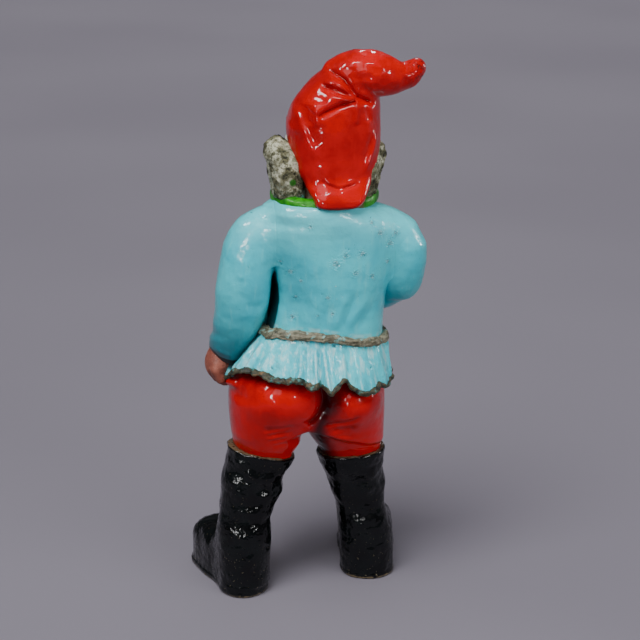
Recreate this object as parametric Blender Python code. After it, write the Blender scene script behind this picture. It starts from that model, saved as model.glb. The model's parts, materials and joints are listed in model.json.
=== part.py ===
"""Free-standing garden gnome: a painted cement figure cast in sections around a steel armature.

Units are metres, +Z is up, the gnome faces -Y and its own left hand is on the +X side.
All sections are built around the body axis (X = Y = 0 below the waist) and hang from one
empty, which moves the figure so that the origin is the middle of its footprint on the ground.
Sections meet on flat joint faces, in sockets or around bars, with JOINT_GAP between them.
"""
import math

import bmesh
import bpy
from mathutils import Matrix, Vector

for old in list(bpy.data.objects):
    bpy.data.objects.remove(old, do_unlink=True)

# ---------------------------------------------------------------- driving dimensions
JOINT_GAP = 0.0004          # mortar line between two cast sections
CUT_GROW = 0.0005           # how far a neighbour is grown before it cuts its bed
SEGMENTS = 24               # sides of a turned or lofted section

WAIST_Z = 0.3840            # joint face between trousers and jacket
NECK_Z = 0.5765             # shoulder plateau that carries the collar
COLLAR_TOP_Z = 0.5885
SHOULDER_LEFT_X = 0.0615    # flat joint faces of the two sleeves
SHOULDER_RIGHT_X = -0.1075
SHOULDER_BAR = (0.012, 0.528)   # Y and Z of the bar through both shoulders
HEM_Z = 0.3180

HEAD_X = -0.0210
SPINE_X, SPINE_Y = -0.0180, -0.0020
SPINE_RADIUS = 0.0050
BAR_RADIUS = 0.0040
ARM_WIRE_RADIUS = 0.0025
ROD_CLEARANCE = 0.0004

PLEATS = 16
FOOT_OUT_LEFT = math.radians(13.0)
FOOT_OUT_RIGHT = math.radians(8.0)

ORIGIN_SHIFT = (-0.00921, 0.03560, 0.0)

# ---------------------------------------------------------------- paints and metal
PAINTS = {
    "red_gloss": ((0.560, 0.008, 0.006), 0.22, 0.0),
    "turquoise_gloss": ((0.120, 0.440, 0.520), 0.28, 0.0),
    "green_gloss": ((0.030, 0.190, 0.020), 0.35, 0.0),
    "black_gloss": ((0.006, 0.007, 0.009), 0.18, 0.0),
    "weathered_white": ((0.330, 0.320, 0.250), 0.80, 0.0),
    "flesh_paint": ((0.340, 0.120, 0.085), 0.60, 0.0),
    "bronze_trim": ((0.130, 0.100, 0.070), 0.60, 0.0),
    "brass_paint": ((0.420, 0.300, 0.110), 0.40, 0.6),
    "armature_steel": ((0.110, 0.060, 0.040), 0.70, 0.8),
}


def paint(name):
    found = bpy.data.materials.get(name)
    if found:
        return found
    colour, roughness, metallic = PAINTS[name]
    made = bpy.data.materials.new(name)
    made.use_nodes = True
    shader = made.node_tree.nodes["Principled BSDF"]
    shader.inputs["Base Color"].default_value = (*colour, 1.0)
    shader.inputs["Roughness"].default_value = roughness
    shader.inputs["Metallic"].default_value = metallic
    made.diffuse_color = (*colour, 1.0)
    return made


root = bpy.data.objects.new("gnome_origin", None)
bpy.context.scene.collection.objects.link(root)
root.location = ORIGIN_SHIFT


# ---------------------------------------------------------------- shape helpers
def power(value, exponent):
    return math.copysign(abs(value) ** exponent, value)


def ring(cx, cy, z, rx, rf, rb, n=SEGMENTS, e=2.0, grow=0.0, tilt=(0.0, 0.0), limits=None):
    """A level section: rx to each side, rf to the front (-Y), rb to the back (+Y)."""
    points = []
    for k in range(n):
        a = 2 * math.pi * k / n
        c, s = power(math.cos(a), 2 / e), power(math.sin(a), 2 / e)
        x = (rx + grow) * c
        y = ((rb if s > 0 else rf) + grow) * s
        if limits:
            x = max(limits[0] - cx - grow, min(limits[1] - cx + grow, x))
        points.append(Vector((cx + x, cy + y, z + tilt[0] * x + tilt[1] * y)))
    return points


def capsule_ring(z, heel, r_heel, toe, r_toe, n=SEGMENTS, tilt=(0.0, 0.0)):
    """A level section around two circles, as a sole's outline is."""
    points = []
    for k in range(n):
        a = 2 * math.pi * k / n
        d = Vector((math.cos(a), math.sin(a)))
        reach = (heel.dot(d) + r_heel, toe.dot(d) + r_toe)
        centre, radius = (heel, r_heel) if reach[0] >= reach[1] else (toe, r_toe)
        p = centre + d * radius
        off = p - heel
        points.append(Vector((p.x, p.y, z + tilt[0] * off.x + tilt[1] * off.y)))
    return points


def path_rings(path, radii, n=SEGMENTS, grow=0.0, flat=1.0, first=None):
    """Sections square to a path. first gives the first section's normal, as at a flat joint."""
    path = [Vector(p) for p in path]
    rings, u = [], None
    for i, p in enumerate(path):
        before, after = path[max(i - 1, 0)], path[min(i + 1, len(path) - 1)]
        t = (after - before).normalized()
        if i == 0 and first is not None:
            t = Vector(first).normalized()
        if u is None:
            u = t.cross(Vector((0, 1, 0)))
            if u.length < 0.2:
                u = t.cross(Vector((1, 0, 0)))
        u = (u - t * u.dot(t)).normalized()
        v = t.cross(u)
        r = radii[i] + grow
        rings.append([p + (u * math.cos(2 * math.pi * k / n)
                           + v * flat * math.sin(2 * math.pi * k / n)) * r for k in range(n)])
    return rings


def loft(name, rings, start=None, end=None):
    """Joins sections of equal count into one closed mesh. start and end are apexes, or flat caps."""
    bm = bmesh.new()
    loops = [[bm.verts.new(p) for p in points] for points in rings]
    n = len(rings[0])
    for low, high in zip(loops, loops[1:]):
        for k in range(n):
            bm.faces.new((low[k], low[(k + 1) % n], high[(k + 1) % n], high[k]))
    for loop, apex in ((loops[0], start), (loops[-1], end)):
        if apex is None:
            bm.faces.new(loop)
        else:
            tip = bm.verts.new(apex)
            for k in range(n):
                bm.faces.new((loop[k], loop[(k + 1) % n], tip))
    bmesh.ops.recalc_face_normals(bm, faces=bm.faces)
    mesh = bpy.data.meshes.new(name)
    bm.to_mesh(mesh)
    bm.free()
    made = bpy.data.objects.new(name, mesh)
    bpy.context.scene.collection.objects.link(made)
    made.parent = root
    return made


def rod(name, start, end, radius, n=12):
    """A round bar between two points."""
    start, end = Vector(start), Vector(end)
    bm = bmesh.new()
    bmesh.ops.create_cone(bm, cap_ends=True, segments=n, radius1=radius, radius2=radius,
                          depth=(end - start).length)
    turn = (end - start).to_track_quat("Z", "Y").to_matrix().to_4x4()
    bm.transform(Matrix.Translation((start + end) / 2) @ turn)
    mesh = bpy.data.meshes.new(name)
    bm.to_mesh(mesh)
    bm.free()
    made = bpy.data.objects.new(name, mesh)
    bpy.context.scene.collection.objects.link(made)
    made.parent = root
    return made


def block(name, centre, size, bevel=0.0):
    bm = bmesh.new()
    bmesh.ops.create_cube(bm, size=1.0)
    bm.transform(Matrix.Translation(centre) @ Matrix.Diagonal((*size, 1.0)))
    if bevel:
        bmesh.ops.bevel(bm, geom=list(bm.edges), offset=bevel, segments=1, affect="EDGES")
    mesh = bpy.data.meshes.new(name)
    bm.to_mesh(mesh)
    bm.free()
    made = bpy.data.objects.new(name, mesh)
    bpy.context.scene.collection.objects.link(made)
    made.parent = root
    return made


def finish(obj, material, smooth=True):
    obj.data.materials.append(paint(material))
    if smooth:
        obj.data.shade_smooth()
        obj.data.set_sharp_from_angle(angle=math.radians(40))
    return obj


def helper(obj):
    obj.hide_render = True
    obj.display_type = "WIRE"
    return obj


def boolean(obj, other, operation="DIFFERENCE"):
    helper(other)
    modifier = obj.modifiers.new(other.name, "BOOLEAN")
    modifier.operation = operation
    modifier.solver = "EXACT"
    modifier.object = other
    return obj


def drill(obj, start, end, radius, tag):
    """A round channel for a bar, as wide as the bar and its clearance."""
    return boolean(obj, rod(f"channel_{tag}", start, end, radius + ROD_CLEARANCE))


def mix(table, z):
    """Reads a table of (z, values...) at any height between its first and last row."""
    if z <= table[0][0]:
        return table[0][1:]
    for low, high in zip(table, table[1:]):
        if z <= high[0]:
            t = (z - low[0]) / (high[0] - low[0])
            return tuple(a + (b - a) * t for a, b in zip(low[1:], high[1:]))
    return table[-1][1:]


# ---------------------------------------------------------------- armature: where each bar runs
SPINE = ((SPINE_X, SPINE_Y, 0.3806), (SPINE_X, SPINE_Y, 0.7420))
LEFT_LEG_BAR = ((0.1070, 0.0190, 0.0300), (0.0440, 0.0000, 0.3712))
RIGHT_LEG_BAR = ((-0.0800, -0.0170, 0.0300), (-0.0480, -0.0020, 0.3712))
SHOULDER_LINE = ((0.0860, *SHOULDER_BAR), (-0.1300, *SHOULDER_BAR))
LEFT_ARM_LINE = ((0.1385, -0.0140, 0.3380), (0.1080, 0.0060, 0.4300))
RIGHT_ARM_LINE = ((-0.0480, -0.1080, 0.4220), (-0.1040, -0.0650, 0.4480))


def along(line, t):
    a, b = Vector(line[0]), Vector(line[1])
    return a + (b - a) * t


# ---------------------------------------------------------------- jacket body
# z, centre X, half width, front, back
JACKET = (
    (0.3840, -0.0190, 0.0775, 0.0775, 0.0660),
    (0.4000, -0.0190, 0.0800, 0.0800, 0.0668),
    (0.4250, -0.0200, 0.0800, 0.0850, 0.0675),
    (0.4550, -0.0215, 0.0800, 0.0835, 0.0700),
    (0.4850, -0.0225, 0.0850, 0.0780, 0.0725),
    (0.5150, -0.0225, 0.0920, 0.0710, 0.0725),
    (0.5400, -0.0220, 0.0930, 0.0650, 0.0700),
    (0.5570, -0.0210, 0.0890, 0.0610, 0.0670),
    (0.5690, -0.0190, 0.0820, 0.0580, 0.0640),
    (NECK_Z, -0.0180, 0.0745, 0.0560, 0.0610),
)


def jacket_rings(grow=0.0):
    rows = list(JACKET)
    rings = [ring(cx, 0.0, z, rx, rf, rb, e=2.25, grow=grow,
                  limits=(SHOULDER_RIGHT_X, SHOULDER_LEFT_X)) for z, cx, rx, rf, rb in rows]
    if grow:
        for p in rings[-1]:
            p.z += grow
        for p in rings[0]:
            p.z -= grow
    return rings


NECK_SOCKET_RADIUS = 0.0436
jacket = loft("jacket_body", jacket_rings())
socket = loft("neck_socket", [ring(HEAD_X, 0.0, z, NECK_SOCKET_RADIUS, NECK_SOCKET_RADIUS, NECK_SOCKET_RADIUS)
                              for z in (0.5520, 0.6000)])
boolean(jacket, socket)
drill(jacket, (SPINE_X, SPINE_Y, 0.3700), (SPINE_X, SPINE_Y, 0.5600), SPINE_RADIUS, "spine_jacket")
drill(jacket, (0.0800, *SHOULDER_BAR), (-0.1300, *SHOULDER_BAR), BAR_RADIUS, "shoulder_jacket")
finish(jacket, "turquoise_gloss")

# ---------------------------------------------------------------- head, with its neck in the jacket's socket
# z, half width, front, back; the head stands over HEAD_X
HEAD = (
    (0.5524, 0.0410, 0.0400, 0.0410),
    (0.5760, 0.0414, 0.0400, 0.0410),
    (0.5900, 0.0470, 0.0480, 0.0440),
    (0.6080, 0.0530, 0.0580, 0.0500),
    (0.6280, 0.0560, 0.0640, 0.0540),
    (0.6500, 0.0570, 0.0665, 0.0560),
    (0.6720, 0.0560, 0.0650, 0.0565),
    (0.6920, 0.0530, 0.0620, 0.0550),
    (0.7080, 0.0480, 0.0560, 0.0490),
    (0.7210, 0.0380, 0.0440, 0.0390),
    (0.7290, 0.0240, 0.0280, 0.0240),
)
NOSE = ((HEAD_X, -0.0480, 0.6620), (HEAD_X, -0.0640, 0.6600), (HEAD_X, -0.0760, 0.6560), (HEAD_X, -0.0840, 0.6530))
NOSE_RADII = (0.0060, 0.0085, 0.0105, 0.0065)


def head_rings(grow=0.0):
    return [ring(HEAD_X, 0.0, z, rx, rf, rb, e=2.1, grow=grow) for z, rx, rf, rb in HEAD]


def head_shape(name, grow=0.0):
    return loft(name, head_rings(grow), end=(HEAD_X, 0.0, 0.7320 + grow))


head = head_shape("head")
boolean(head, loft("nose", path_rings(NOSE, NOSE_RADII, n=10)), "UNION")
drill(head, (SPINE_X, SPINE_Y, 0.5400), (SPINE_X, SPINE_Y, 0.7500), SPINE_RADIUS, "spine_head")
finish(head, "flesh_paint")

# ---------------------------------------------------------------- collar, a band on the shoulder plateau
COLLAR_X = -0.0180


def collar_rings(grow=0.0):
    z0, z1 = NECK_Z + JOINT_GAP - grow, COLLAR_TOP_Z + grow
    return [
        ring(COLLAR_X, 0.0, z0, 0.0480 - grow, 0.0480 - grow, 0.0470 - grow),
        ring(COLLAR_X, 0.0, z0, 0.0770, 0.0620, 0.0650, grow=grow),
        ring(COLLAR_X, 0.0, z0 + 0.0060 + grow, 0.0785, 0.0640, 0.0665, grow=grow),
        ring(COLLAR_X, 0.0, z1, 0.0745, 0.0600, 0.0630, grow=grow),
        ring(COLLAR_X, 0.0, z1, 0.0540 - grow, 0.0540 - grow, 0.0500 - grow),
    ]


def closed_loop(name, rings):
    """Joins sections into a closed band, the last section meeting the first."""
    bm = bmesh.new()
    loops = [[bm.verts.new(p) for p in points] for points in rings]
    n = len(rings[0])
    for i in range(len(loops)):
        low, high = loops[i], loops[(i + 1) % len(loops)]
        for k in range(n):
            bm.faces.new((low[k], low[(k + 1) % n], high[(k + 1) % n], high[k]))
    bmesh.ops.recalc_face_normals(bm, faces=bm.faces)
    mesh = bpy.data.meshes.new(name)
    bm.to_mesh(mesh)
    bm.free()
    made = bpy.data.objects.new(name, mesh)
    bpy.context.scene.collection.objects.link(made)
    made.parent = root
    return made


collar = closed_loop("collar", collar_rings())
finish(collar, "green_gloss")

# ---------------------------------------------------------------- cap: crown, nape flap and folded tail
CROWN_Z = 0.7000
# angle away from straight back in degrees, height of the brim there
BRIM = ((0.0, 0.5860), (26.0, 0.5860), (40.0, 0.6020), (56.0, 0.6320), (70.0, 0.6620), (90.0, 0.6790),
        (120.0, 0.6870), (180.0, 0.6900))
# z, left edge, right edge, front, back, centre Y of the crown above the brow
CROWN = (
    (0.7000, 0.0355, -0.0865, 0.0650, 0.0610, 0.000),
    (0.7140, 0.0310, -0.0865, 0.0620, 0.0600, 0.001),
    (0.7260, 0.0250, -0.0880, 0.0580, 0.0580, 0.002),
    (0.7370, 0.0170, -0.0910, 0.0540, 0.0550, 0.003),
    (0.7480, 0.0070, -0.0940, 0.0500, 0.0520, 0.004),
    (0.7590, -0.0050, -0.0960, 0.0450, 0.0480, 0.005),
    (0.7700, -0.0170, -0.0970, 0.0390, 0.0420, 0.006),
    (0.7820, -0.0310, -0.0950, 0.0290, 0.0320, 0.007),
    (0.7900, -0.0460, -0.0880, 0.0170, 0.0200, 0.008),
)


def brim_z(a):
    away = abs((math.degrees(a) - 90.0 + 180.0) % 360.0 - 180.0)
    return mix(BRIM, away)[0]


def crown_rings(grow=0.0):
    rings = []
    n = SEGMENTS
    z0, left, right, front, back, cy = CROWN[0]
    cx, rx = (left + right) / 2, (left - right) / 2
    for t in (0.0, 0.2, 0.5, 0.8):
        points = []
        for k in range(n):
            a = 2 * math.pi * k / n
            low = brim_z(a)
            z = low + (z0 - low) * t
            depth = z0 - z
            lip = 0.0085 * max(0.0, 1 - t * 4) * max(0.0, math.sin(a)) ** 4
            wide = rx + 0.0015 - 0.05 * depth
            c, s = math.cos(a), math.sin(a)
            y = (back + 0.003 - 0.02 * depth if s > 0 else front + 0.003) + lip + grow
            points.append(Vector((cx + (wide + grow) * c, y * s, z - (grow if t == 0.0 else 0.0))))
        rings.append(points)
    for z, left, right, front, back, cy in CROWN:
        rings.append(ring((left + right) / 2, cy, z, (left - right) / 2, front, back, grow=grow))
    return rings


def crown_shape(name, grow=0.0):
    return loft(name, crown_rings(grow), start=(HEAD_X, 0.0, 0.6700), end=(-0.0660, 0.009, 0.7935))


TAIL = ((-0.060, 0.014, 0.7560), (-0.078, 0.020, 0.7560), (-0.092, 0.025, 0.7555), (-0.106, 0.029, 0.7545),
        (-0.119, 0.031, 0.7550), (-0.130, 0.032, 0.7590), (-0.1385, 0.032, 0.7650), (-0.1450, 0.032, 0.7690))
TAIL_RADII = (0.0260, 0.0310, 0.0300, 0.0255, 0.0215, 0.0185, 0.0150, 0.0085)
cap = crown_shape("cap")
tail = loft("cap_tail", path_rings(TAIL, TAIL_RADII, n=16))
boolean(cap, tail, "UNION")
boolean(cap, head_shape("bed_of_head_in_cap", CUT_GROW))
boolean(cap, closed_loop("bed_of_collar_in_cap", collar_rings(CUT_GROW)))
drill(cap, (SPINE_X, SPINE_Y, 0.7100), (SPINE_X, SPINE_Y, 0.7430), SPINE_RADIUS, "spine_cap")
finish(cap, "red_gloss")

# ---------------------------------------------------------------- side hair, standing on the collar
# z, distance of its middle from the head's middle plane, Y, half width, front, back
HAIR_MIDDLE_X = -0.0155
HAIR = (
    (0.5892, 0.0440, 0.0080, 0.0270, 0.0300, 0.0340),
    (0.6100, 0.0480, 0.0080, 0.0290, 0.0340, 0.0340),
    (0.6320, 0.0520, 0.0060, 0.0290, 0.0340, 0.0320),
    (0.6500, 0.0540, 0.0030, 0.0290, 0.0310, 0.0290),
    (0.6640, 0.0500, 0.0010, 0.0250, 0.0240, 0.0240),
    (0.6710, 0.0470, 0.0000, 0.0150, 0.0140, 0.0140),
)
for side, name in ((1, "hair_left"), (-1, "hair_right")):
    rings = [ring(HAIR_MIDDLE_X + side * off, cy, z, rx, rf, rb, n=16, e=2.3) for z, off, cy, rx, rf, rb in HAIR]
    lock = loft(name, rings)
    boolean(lock, head_shape(f"bed_of_head_in_{name}", CUT_GROW))
    boolean(lock, crown_shape(f"bed_of_cap_in_{name}", CUT_GROW))
    finish(lock, "weathered_white")

# ---------------------------------------------------------------- beard, laid over collar and chest
# z, half width, front face Y, back face Y
BEARD = (
    (0.6420, 0.0400, -0.0740, -0.0450),
    (0.6300, 0.0460, -0.0850, -0.0400),
    (0.6100, 0.0480, -0.0930, -0.0380),
    (0.5850, 0.0450, -0.0960, -0.0400),
    (0.5600, 0.0400, -0.0945, -0.0450),
    (0.5350, 0.0320, -0.0915, -0.0500),
    (0.5120, 0.0200, -0.0880, -0.0560),
    (0.5000, 0.0090, -0.0850, -0.0620),
)
rings = []
for z, rx, front, back in BEARD:
    cy, ry = (front + back) / 2, (back - front) / 2
    rings.append(ring(HEAD_X, cy, z, rx, ry, ry, n=18, e=2.4))
beard = loft("beard", rings)
boolean(beard, head_shape("bed_of_head_in_beard", CUT_GROW))
boolean(beard, loft("bed_of_nose_in_beard", path_rings(NOSE, NOSE_RADII, n=10, grow=CUT_GROW)))
boolean(beard, loft("bed_of_jacket_in_beard", jacket_rings(CUT_GROW)))
boolean(beard, closed_loop("bed_of_collar_in_beard", collar_rings(CUT_GROW)))
neck_clear = loft("neck_side_of_beard", [ring(HEAD_X, 0.0, z, 0.0560, 0.0530, 0.0530) for z in (0.5600, 0.6000)])
boolean(beard, neck_clear)
finish(beard, "weathered_white")

# ---------------------------------------------------------------- trousers: seat and two legs in one casting
# z, centre X, half width, front, back
SEAT = (
    (0.2310, 0.0090, 0.0820, 0.0400, 0.0420),
    (0.2380, 0.0090, 0.1000, 0.0560, 0.0580),
    (0.2500, 0.0090, 0.1060, 0.0660, 0.0720),
    (0.2650, 0.0100, 0.1090, 0.0730, 0.0800),
    (0.2850, 0.0120, 0.1120, 0.0780, 0.0830),
    (0.3050, 0.0110, 0.1110, 0.0790, 0.0810),
    (0.3250, 0.0060, 0.1040, 0.0780, 0.0760),
    (0.3450, -0.0010, 0.0920, 0.0760, 0.0690),
    (0.3650, -0.0090, 0.0825, 0.0740, 0.0640),
    (WAIST_Z - JOINT_GAP, -0.0175, 0.0760, 0.0740, 0.0630),
)
LEFT_LEG = ((0.0600, 0.0020, 0.2850), (0.0640, 0.0020, 0.2550), (0.0690, 0.0025, 0.2330), (0.0745, 0.0035, 0.2170),
            (0.0800, 0.0045, 0.2030), (0.0835, 0.0050, 0.1880))
LEFT_LEG_RADII = (0.0520, 0.0520, 0.0495, 0.0450, 0.0400, 0.0380)
RIGHT_LEG = ((-0.0440, -0.0020, 0.2850), (-0.0465, -0.0050, 0.2480), (-0.0490, -0.0090, 0.2220),
             (-0.0520, -0.0115, 0.2100), (-0.0540, -0.0125, 0.1990), (-0.0555, -0.0140, 0.1840))
RIGHT_LEG_RADII = (0.0500, 0.0510, 0.0490, 0.0455, 0.0400, 0.0380)
LEFT_POCKET = ((0.1060, -0.0200, 0.2820), (0.1120, -0.0205, 0.2940), (0.1220, -0.0205, 0.3060), (0.1270, -0.0210, 0.3130))
LEFT_POCKET_RADII = (0.0140, 0.0180, 0.0180, 0.0170)


def seat_rings(grow=0.0):
    return [ring(cx, 0.0, z, rx, rf, rb, n=28, e=2.3, grow=grow) for z, cx, rx, rf, rb in SEAT]


trousers = loft("trousers", seat_rings())
boolean(trousers, loft("left_leg", path_rings(LEFT_LEG, LEFT_LEG_RADII, n=20)), "UNION")
boolean(trousers, loft("right_leg", path_rings(RIGHT_LEG, RIGHT_LEG_RADII, n=20)), "UNION")
# the cleft between the two halves of the seat
boolean(trousers, loft("seat_cleft", path_rings([(0.0060, 0.0930, 0.3050), (0.0070, 0.0900, 0.2700),
                                                 (0.0080, 0.0750, 0.2400), (0.0090, 0.0550, 0.2250)],
                                                [0.0060, 0.0120, 0.0120, 0.0100], n=8)))
# the side pocket that takes the left hand stands away from the hip
boolean(trousers, loft("left_pocket", path_rings(LEFT_POCKET, LEFT_POCKET_RADII, n=12)), "UNION")
# recess for the hip bar in the top face, and the channels of the two leg bars
HIP_BAR_CENTRE = ((LEFT_LEG_BAR[1][0] + RIGHT_LEG_BAR[1][0]) / 2, -0.0010, 0.3767)
HIP_BAR_SIZE = (0.1120, 0.0140, 0.0070)
boolean(trousers, block("hip_recess", (HIP_BAR_CENTRE[0], HIP_BAR_CENTRE[1], 0.3830),
                        (HIP_BAR_SIZE[0] + 0.0030, HIP_BAR_SIZE[1] + 0.0030, 0.0206)))
for line, tag in ((LEFT_LEG_BAR, "left_leg"), (RIGHT_LEG_BAR, "right_leg")):
    drill(trousers, along(line, 0.2), along(line, 1.02), BAR_RADIUS, f"{tag}_trousers")
finish(trousers, "red_gloss")

# ---------------------------------------------------------------- boots
# z, axis X, axis Y, shaft radius, how far the toe circle stands in front, toe radius
LEFT_BOOT = (
    (0.0000, 0.1120, 0.0210, 0.0365, 0.112, 0.0370),
    (0.0060, 0.1120, 0.0210, 0.0385, 0.113, 0.0400),
    (0.0300, 0.1120, 0.0210, 0.0385, 0.113, 0.0400),
    (0.0480, 0.1110, 0.0205, 0.0375, 0.110, 0.0380),
    (0.0600, 0.1100, 0.0200, 0.0365, 0.102, 0.0340),
    (0.0690, 0.1090, 0.0200, 0.0355, 0.080, 0.0310),
    (0.0810, 0.1080, 0.0195, 0.0350, 0.050, 0.0300),
    (0.0960, 0.1060, 0.0190, 0.0350, 0.024, 0.0320),
    (0.1130, 0.1035, 0.0175, 0.0355, 0.008, 0.0345),
    (0.1300, 0.1000, 0.0155, 0.0385, 0.000, 0.0380),
    (0.1550, 0.0950, 0.0125, 0.0420, 0.000, 0.0420),
    (0.1800, 0.0910, 0.0085, 0.0430, 0.000, 0.0430),
)
LEFT_RIM = (0.2120, 0.0820, 0.0050, 0.0465)
LEFT_TILT = (0.2800, 0.0)
RIGHT_BOOT = (
    (0.0000, -0.0830, -0.0165, 0.0365, 0.112, 0.0365),
    (0.0060, -0.0830, -0.0165, 0.0385, 0.113, 0.0395),
    (0.0300, -0.0820, -0.0165, 0.0385, 0.113, 0.0395),
    (0.0480, -0.0800, -0.0170, 0.0375, 0.110, 0.0375),
    (0.0600, -0.0780, -0.0175, 0.0370, 0.102, 0.0340),
    (0.0690, -0.0765, -0.0180, 0.0365, 0.080, 0.0310),
    (0.0810, -0.0750, -0.0185, 0.0360, 0.050, 0.0300),
    (0.0960, -0.0735, -0.0190, 0.0350, 0.024, 0.0320),
    (0.1130, -0.0715, -0.0200, 0.0360, 0.008, 0.0350),
    (0.1300, -0.0690, -0.0200, 0.0380, 0.000, 0.0380),
    (0.1500, -0.0655, -0.0195, 0.0405, 0.000, 0.0405),
    (0.1700, -0.0610, -0.0175, 0.0410, 0.000, 0.0410),
)
RIGHT_RIM = (0.1960, -0.0565, -0.0130, 0.0460)
RIGHT_TILT = (-0.0300, 0.0)


def boot(name, rows, rim, tilt, out, bar, side):
    """Sole, foot and shaft in one casting; the leg's end is bedded in the top of the shaft."""
    rings = []
    toe_dir = Vector((side * math.sin(out), -math.cos(out)))
    for z, x, y, r, reach, r_toe in rows:
        heel = Vector((x, y))
        lean = max(0.0, (z - 0.120) / (rim[0] - 0.120))
        rings.append(capsule_ring(z, heel, r, heel + toe_dir * reach, r_toe,
                                  tilt=(tilt[0] * lean, tilt[1] * lean)))
    centre = Vector((rim[1], rim[2]))
    rings.append(capsule_ring(rim[0] - 0.006, centre, rim[3], centre, rim[3], tilt=tilt))
    rings.append(capsule_ring(rim[0], centre, rim[3] - 0.0010, centre, rim[3] - 0.0010, tilt=tilt))
    made = loft(name, rings)
    drill(made, along(bar, -0.004), along(bar, 0.75), BAR_RADIUS, f"leg_{name}")
    return finish(made, "black_gloss")


def leg_bed(name, path, radii):
    """The leg end, grown by the mortar line, which shapes the boot's socket."""
    path = [Vector(p) for p in path]
    path[-1] = path[-1] + (path[-1] - path[-2]).normalized() * CUT_GROW
    return loft(name, path_rings(path, radii, n=20, grow=CUT_GROW))


left_boot = boot("left_boot", LEFT_BOOT, LEFT_RIM, LEFT_TILT, FOOT_OUT_LEFT, LEFT_LEG_BAR, 1)
boolean(left_boot, leg_bed("bed_of_left_leg", LEFT_LEG, LEFT_LEG_RADII))
right_boot = boot("right_boot", RIGHT_BOOT, RIGHT_RIM, RIGHT_TILT, FOOT_OUT_RIGHT, RIGHT_LEG_BAR, -1)
boolean(right_boot, leg_bed("bed_of_right_leg", RIGHT_LEG, RIGHT_LEG_RADII))

# ---------------------------------------------------------------- jacket skirt, pleated, around the seat
SKIRT_SEGMENTS = 64
BELT_X, BELT_Z, BELT_TILT = -0.0178, 0.3890, 0.1300
# z, centre X, half width, front, back of the outer face; the top edge follows the belt
SKIRT_TOP = (BELT_Z - 0.0030, BELT_X, 0.0827, 0.0822, 0.0706)
SKIRT = (
    (0.3650, -0.0095, 0.0920, 0.0850, 0.0770),
    (0.3450, 0.0000, 0.1060, 0.0890, 0.0870),
    (0.3290, 0.0050, 0.1150, 0.0930, 0.0935),
    (HEM_Z, 0.0060, 0.1175, 0.0945, 0.0950),
)
SKIRT_TOP_THICKNESS = 0.0030


def skirt_ring(row, grow=0.0):
    z, cx, rx, rf, rb = row
    points = []
    depth = (WAIST_Z - z) / (WAIST_Z - HEM_Z)
    for k in range(SKIRT_SEGMENTS):
        a = 2 * math.pi * k / SKIRT_SEGMENTS
        wave = math.cos(PLEATS * a)
        r = 1.0 + 0.018 * depth * wave
        c, s = math.cos(a), math.sin(a)
        points.append(Vector((cx + (rx + grow) * c * r, ((rb if s > 0 else rf) + grow) * s * r,
                              z - 0.004 * depth * depth * wave)))
    return points


def skirt_top_ring(inward, grow):
    z, cx, rx, rf, rb = SKIRT_TOP
    return ring(cx, 0.0, z + grow, rx - inward, rf - inward, rb - inward, n=SKIRT_SEGMENTS, e=2.0,
                tilt=(BELT_TILT, 0.0))


def skirt_rings(grow=0.0):
    outer = [skirt_top_ring(-grow, grow)] + [skirt_ring(row, grow=grow) for row in SKIRT]
    outer[-1] = [p - Vector((0, 0, grow)) for p in outer[-1]]
    inner = []
    for z in (HEM_Z + 0.002, 0.3250, 0.3450, 0.3650):
        cx, rx, rf, rb = mix(SEAT, z)
        extra = 0.0008 - grow
        inner.append(ring(cx, 0.0, z, rx + extra, rf + extra, rb + extra, n=SKIRT_SEGMENTS, e=2.3))
    return outer + inner + [skirt_top_ring(SKIRT_TOP_THICKNESS + grow, grow)]


skirt = closed_loop("jacket_skirt", skirt_rings())
boolean(skirt, loft("bed_of_pocket_in_skirt", path_rings(LEFT_POCKET, LEFT_POCKET_RADII, n=12, grow=CUT_GROW)))
boolean(skirt, loft("bed_of_jacket_in_skirt", jacket_rings(CUT_GROW)))
finish(skirt, "turquoise_gloss")

# ---------------------------------------------------------------- belt over the waist joint, and its buckle
BELT_HALF, BELT_THICKNESS = 0.0068, 0.0034


def belt_rings(grow=0.0):
    z0, cx, rx, rf, rb = SKIRT_TOP
    rings = []
    for dz, out in ((-1.0, 0.0006), (-0.7, BELT_THICKNESS), (0.7, BELT_THICKNESS), (1.0, 0.0006),
                    (1.0, -0.0050), (-1.0, -0.0014)):
        step = grow if out > 0 else -grow
        rings.append(ring(cx, 0.0, BELT_Z + dz * BELT_HALF + math.copysign(grow, dz), rx + out, rf + out, rb + out,
                          n=32, grow=step, tilt=(BELT_TILT, 0.0)))
    return rings


belt = closed_loop("belt", belt_rings())
boolean(belt, loft("bed_of_jacket_in_belt", jacket_rings(CUT_GROW)))
boolean(belt, closed_loop("bed_of_skirt_in_belt", skirt_rings(CUT_GROW)))
finish(belt, "bronze_trim")

BUCKLE_Y = -0.0835
buckle = block("belt_buckle", (BELT_X + 0.004, BUCKLE_Y - 0.0020, BELT_Z), (0.0280, 0.0050, 0.0210), bevel=0.0012)
boolean(buckle, block("buckle_window", (BELT_X + 0.004, BUCKLE_Y - 0.0060, BELT_Z), (0.0160, 0.0060, 0.0110)))
boolean(buckle, closed_loop("bed_of_belt_in_buckle", belt_rings(CUT_GROW)))
boolean(buckle, closed_loop("bed_of_skirt_in_buckle", skirt_rings(CUT_GROW)))
finish(buckle, "brass_paint", smooth=False)

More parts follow.
